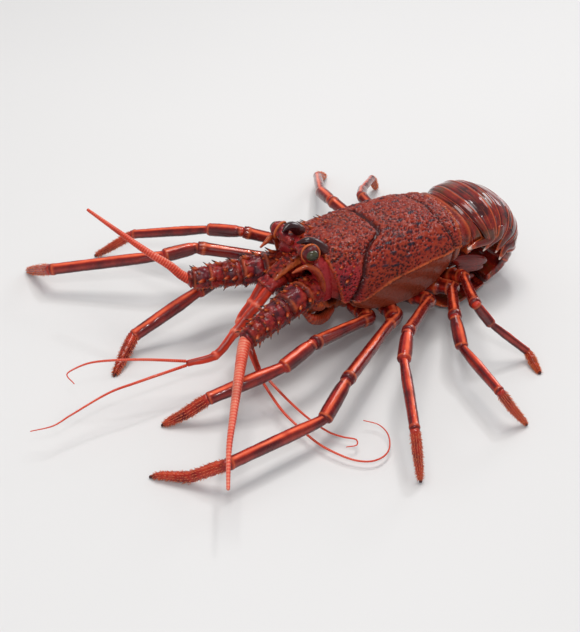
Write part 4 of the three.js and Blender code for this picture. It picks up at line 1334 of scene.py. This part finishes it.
class LOBSTER_PG_colours(bpy.types.PropertyGroup):
    """Colours of the shell, legs, feelers and soft parts."""
    shell_dark: colour("Shell, dark", "Darkest ground of the shell", (0.050, 0.003, 0.003))
    shell_red: colour("Shell, red", "Middle ground of the shell", (0.190, 0.010, 0.006))
    shell_warm: colour("Shell, warm", "Lightest ground of the shell", (0.260, 0.015, 0.007))
    granule: colour("Granules", "Tops of the granules", (0.310, 0.034, 0.010))
    # The pit colour is also the painted shade on the body skin between the shields
    pit: colour("Pits", "Pits and grooves between granules", (0.032, 0.002, 0.003))
    spot: colour("Spots", "Dark blue spots of the shell", (0.008, 0.009, 0.020))
    rim: colour("Rims", "Rims and ridges", (0.540, 0.110, 0.026))
    horn: colour("Horns", "Horns over the eyes", (0.055, 0.008, 0.007))
    claw: colour("Tips", "Tips of spines and claws", (0.025, 0.004, 0.005))
    tail_dark: colour("Tail, dark", "Darkest ground of the tail", (0.045, 0.003, 0.003))
    tail_red: colour("Tail, red", "Middle ground of the tail", (0.200, 0.009, 0.005))
    olive: colour("Olive", "Olive patches of the tail", (0.120, 0.028, 0.008))
    tail_line: colour("Tail lines", "Lines across the tail", (0.540, 0.085, 0.022))
    leg_dark: colour("Leg, dark", "Darkest ground of the legs", (0.150, 0.004, 0.004))
    leg_red: colour("Leg, red", "Middle ground of the legs", (0.360, 0.012, 0.006))
    leg_warm: colour("Leg, warm", "Lightest ground of the legs", (0.500, 0.034, 0.010))
    leg_stripe: colour("Leg stripes", "Dark lines along the legs", (0.040, 0.002, 0.004))
    leg_line: colour("Leg lines", "Light lines along the legs", (0.860, 0.140, 0.055))
    collar: colour("Collars", "Collars at the joints", (0.540, 0.095, 0.030))
    feeler: colour("Feelers", "Whips and feelers", (0.640, 0.045, 0.018))
    ring_dark: colour("Rings, dark", "Dark rings of the whips", (0.210, 0.024, 0.010))
    # The pale ring colour is also the painted highlight along one side of the antenna whips
    ring_pale: colour("Rings, pale", "Pale rings of the whips", (0.720, 0.260, 0.165))
    under: colour("Underside", "Light skin of the underside", (0.420, 0.110, 0.035))
    under_dark: colour("Underside, dark", "Dark skin of the underside", (0.180, 0.020, 0.009))
    cornea: colour("Cornea", "Cornea of the eyes", (0.006, 0.009, 0.004))
    hair: colour("Setae", "Tips of the setae", (0.680, 0.170, 0.045))
    cheek: colour("Cheeks", "Pinkish red of the sides of the head", (0.330, 0.016, 0.024))
    band: colour("Lower band", "Brown band below the ridge of the shell", (0.200, 0.040, 0.016))
    tip_white: colour("White tips", "Tips of the tail's side lobes", (0.720, 0.560, 0.480))
    # Also serves as a painted sheen on the flanks of the legs
    leg_olive: colour("Leg, olive", "Olive patches of the legs", (0.085, 0.048, 0.050))
    floor: colour("Floor", "Floor and backdrop", (0.710, 0.700, 0.684))


class LOBSTER_PG_sizes(bpy.types.PropertyGroup):
    """The camera and the strengths of the light."""
    camera_distance: size("Camera distance", "From the camera to the middle", 0.91, unit="LENGTH")
    camera_lens: size("Lens", "Focal length in millimetres", 91.14)
    key_power: size("Key light", "Power of the large soft light", 7.6, unit="POWER")
    fill_power: size("Fill light", "Power of the fill light", 2.6, unit="POWER")
    glint_power: size("Glints", "Power of each small light", 2.2, unit="POWER")
    sky: size("Room light", "Strength of the even room light", 0.52)


class LOBSTER_OT_shields(bpy.types.Operator):
    """Builds the two shields of the shell with their spines and horns"""
    bl_idname = "lobster.shields"
    bl_label = "Shell shields"

    def execute(self, context):
        for name, rear, fore, rows in (("rear", REAR_EDGE, SHIELD_BORDER, 140),
                                       ("front", SHIELD_BORDER, FRONT_EDGE, 84)):
            piece(f"shield_{name}", shield(rear, fore, 400, rows), shell_paint, [f"carapace_{name}"])
        piece("shield_spines", thorns(shell_spines(np.random.default_rng(5))), spine_paint)
        build_horns()
        return {"FINISHED"}


class LOBSTER_OT_head(bpy.types.Operator):
    """Builds the eyes, the plate between the antennae and the mouth"""
    bl_idname = "lobster.head"
    bl_label = "Head"

    def execute(self, context):
        for name, side in SIDES:
            build_eye(name, side)
        build_antennular_plate()
        build_mouth()
        return {"FINISHED"}


class LOBSTER_OT_antennae(bpy.types.Operator):
    """Builds the spiny antenna stalks with their whips, and the feelers"""
    bl_idname = "lobster.antennae"
    bl_label = "Antennae and feelers"

    def execute(self, context):
        for name, side in SIDES:
            build_antenna(name)
            build_feeler(name, side)
        return {"FINISHED"}


class LOBSTER_OT_legs(bpy.types.Operator):
    """Builds the ten legs with their setae and the hips"""
    bl_idname = "lobster.legs"
    bl_label = "Legs"

    def execute(self, context):
        rng = np.random.default_rng(7)
        for name in LEG_JOINTS:
            build_leg(name)
            piece(f"setae_{name}", tufts(foot_setae(name, rng)), hair_paint)
        build_hips()
        return {"FINISHED"}


class LOBSTER_OT_tail(bpy.types.Operator):
    """Builds the tail rings with their side lobes, spines and paddles, and the tail fan"""
    bl_idname = "lobster.tail"
    bl_label = "Tail"

    def execute(self, context):
        for index in range(len(TAIL_BORDERS)):
            piece(f"tail_{index + 1}", tail_plate(index), tail_paint, [f"tail_{index + 1}"])
        for number, middle, half, lean in PADDLES:
            piece(f"paddles_{number}", [flap(middle, half, lean, side) for _, side in SIDES], horn_paint)
        lobes, spines = [], []
        for index, (x, y, z) in enumerate(LOBE_TIPS):
            up = tail_up((TAIL_BORDERS[index] + TAIL_BORDERS[index + 1]) / 2)
            wide = TAIL_WIDTHS[index + 1][0]
            for _, side in SIDES:
                top = CURL + up * 19 + [side * (wide - 2.4), 0, 0]
                root = CURL + up * 13 + [side * (wide - 1.6), 0, 0]
                end = np.array([side * x, y, z])
                lobes.append(limb([top, root, between(root, end, 0.5), end],
                                  [[1.9, 3.6], [2.0, 3.0], [1.5, 2.0], [0.4, 0.5]], 36, 0.6, (0.5, 0.8),
                                  lobe_shape(200 + index)))
                spines.append((between(root, end, 0.35) + [0, 3.2, 0.5],
                               between(root, end, 0.75) + [0, 4.2, -0.5], 0.9))
        piece("tail_lobes", lobes, tail_paint)
        piece("tail_teeth", thorns(spines), spine_paint)
        piece("tail_fan_middle", fan_plate(11, 46, 2.4, 0, 0, (0, 28.4, 0)), tail_paint, ["telson"])
        for name, side in SIDES:
            piece(f"tail_fan_{name}", fan_plate(9.5, 40, 2, side * 0.16, side * 0.12, (side * 12.4, 26.2, 4.4)),
                  tail_paint, [f"fan_{name}"])
        return {"FINISHED"}


class LOBSTER_OT_underside(bpy.types.Operator):
    """Builds the body skin and the breastplate"""
    bl_idname = "lobster.underside"
    bl_label = "Underside"

    def execute(self, context):
        piece("body_skin", net(body_skin, 150, 110), shell_paint)
        piece("breastplate", net(breastplate, 90, 110), under_paint, ["breastplate"])
        return {"FINISHED"}


class LOBSTER_OT_stage(bpy.types.Operator):
    """Sets up the floor, the soft lights and the camera"""
    bl_idname = "lobster.stage"
    bl_label = "Stage"

    def execute(self, context):
        scene = context.scene
        scene.view_settings.view_transform = "Standard"
        self.add_floor(scene)
        self.add_lights(scene)
        self.add_camera(scene)
        return {"FINISHED"}

    def add_floor(self, scene):
        """A plain pale floor."""
        bm = bmesh.new()
        bmesh.ops.create_grid(bm, x_segments=24, y_segments=24, size=FLOOR_SIZE)
        mesh = bpy.data.meshes.new("floor")
        bm.to_mesh(mesh)
        bm.free()
        paint = Paint("Floor", 0.85, 0.0, 0.3, 0.1)
        darker = tuple(c * 0.985 for c in scene.lobster_colours.floor)
        paint.ground(paint.noise(3, 2), (0.3, darker), (0.7, "floor"))
        mesh.materials.append(paint.finish())
        floor = bpy.data.objects.new("floor", mesh)
        scene.collection.objects.link(floor)

    def add_lights(self, scene):
        """Even light from the room, and soft lights around the animal."""
        sizes = scene.lobster_sizes
        scene.world = scene.world or bpy.data.worlds.new("Room")
        scene.world.use_nodes = True
        room = scene.world.node_tree.nodes["Background"]
        room.inputs["Color"].default_value = SKY_COLOUR
        room.inputs["Strength"].default_value = sizes.sky
        for name, place, size, power, tint in LIGHTS:
            light = bpy.data.lights.new(name, "AREA")
            light.size = size
            light.energy = getattr(sizes, power)
            light.color = tint
            made = bpy.data.objects.new(name, light)
            made.location = place
            made.rotation_euler = (Vector(place) - LIGHT_TARGET).to_track_quat("Z", "Y").to_euler()
            scene.collection.objects.link(made)

    def add_camera(self, scene):
        """The photograph's view."""
        turn, rise, roll = map(math.radians, (CAMERA_TURN, CAMERA_RISE, CAMERA_ROLL))
        target = (Vector(CAMERA_TARGET) - Vector(MIDDLE)) * MM
        back = Vector((math.sin(turn) * math.cos(rise), -math.cos(turn) * math.cos(rise), math.sin(rise)))
        right = Vector((math.cos(turn), math.sin(turn), 0))
        up = back.cross(right)
        rolled_right = right * math.cos(roll) + up * math.sin(roll)
        rolled_up = up * math.cos(roll) - right * math.sin(roll)
        lens = bpy.data.cameras.new("camera")
        lens.lens = scene.lobster_sizes.camera_lens
        lens.sensor_width = SENSOR_WIDTH
        lens.clip_start = CLIP_START
        camera = bpy.data.objects.new("camera", lens)
        turned = Matrix((rolled_right, rolled_up, back)).transposed().to_4x4()
        camera.matrix_world = Matrix.Translation(target + back * scene.lobster_sizes.camera_distance) @ turned
        scene.collection.objects.link(camera)
        scene.camera = camera


class LOBSTER_PT_panel(bpy.types.Panel):
    """Buttons for the operators, and the sizes and colours"""
    bl_idname = "LOBSTER_PT_panel"
    bl_label = "Spiny lobster"
    bl_space_type = "VIEW_3D"
    bl_region_type = "UI"
    bl_category = "Lobster"

    def draw(self, context):
        for kind in BUILDERS:
            self.layout.operator(kind.bl_idname)
        for group in (context.scene.lobster_sizes, context.scene.lobster_colours):
            for name in group.__annotations__:
                self.layout.prop(group, name)


BUILDERS = (LOBSTER_OT_stage, LOBSTER_OT_shields, LOBSTER_OT_tail, LOBSTER_OT_legs, LOBSTER_OT_antennae,
            LOBSTER_OT_head, LOBSTER_OT_underside)
CLASSES = (LOBSTER_PG_colours, LOBSTER_PG_sizes, *BUILDERS, LOBSTER_PT_panel)


def register():
    for kind in CLASSES:
        bpy.utils.register_class(kind)
    bpy.types.Scene.lobster_colours = bpy.props.PointerProperty(type=LOBSTER_PG_colours)
    bpy.types.Scene.lobster_sizes = bpy.props.PointerProperty(type=LOBSTER_PG_sizes)


def unregister():
    del bpy.types.Scene.lobster_sizes
    del bpy.types.Scene.lobster_colours
    for kind in reversed(CLASSES):
        bpy.utils.unregister_class(kind)


def main():
    register()
    for kind in BUILDERS:
        group, name = kind.bl_idname.split(".")
        getattr(getattr(bpy.ops, group), name)()


if __name__ == "__main__":
    main()
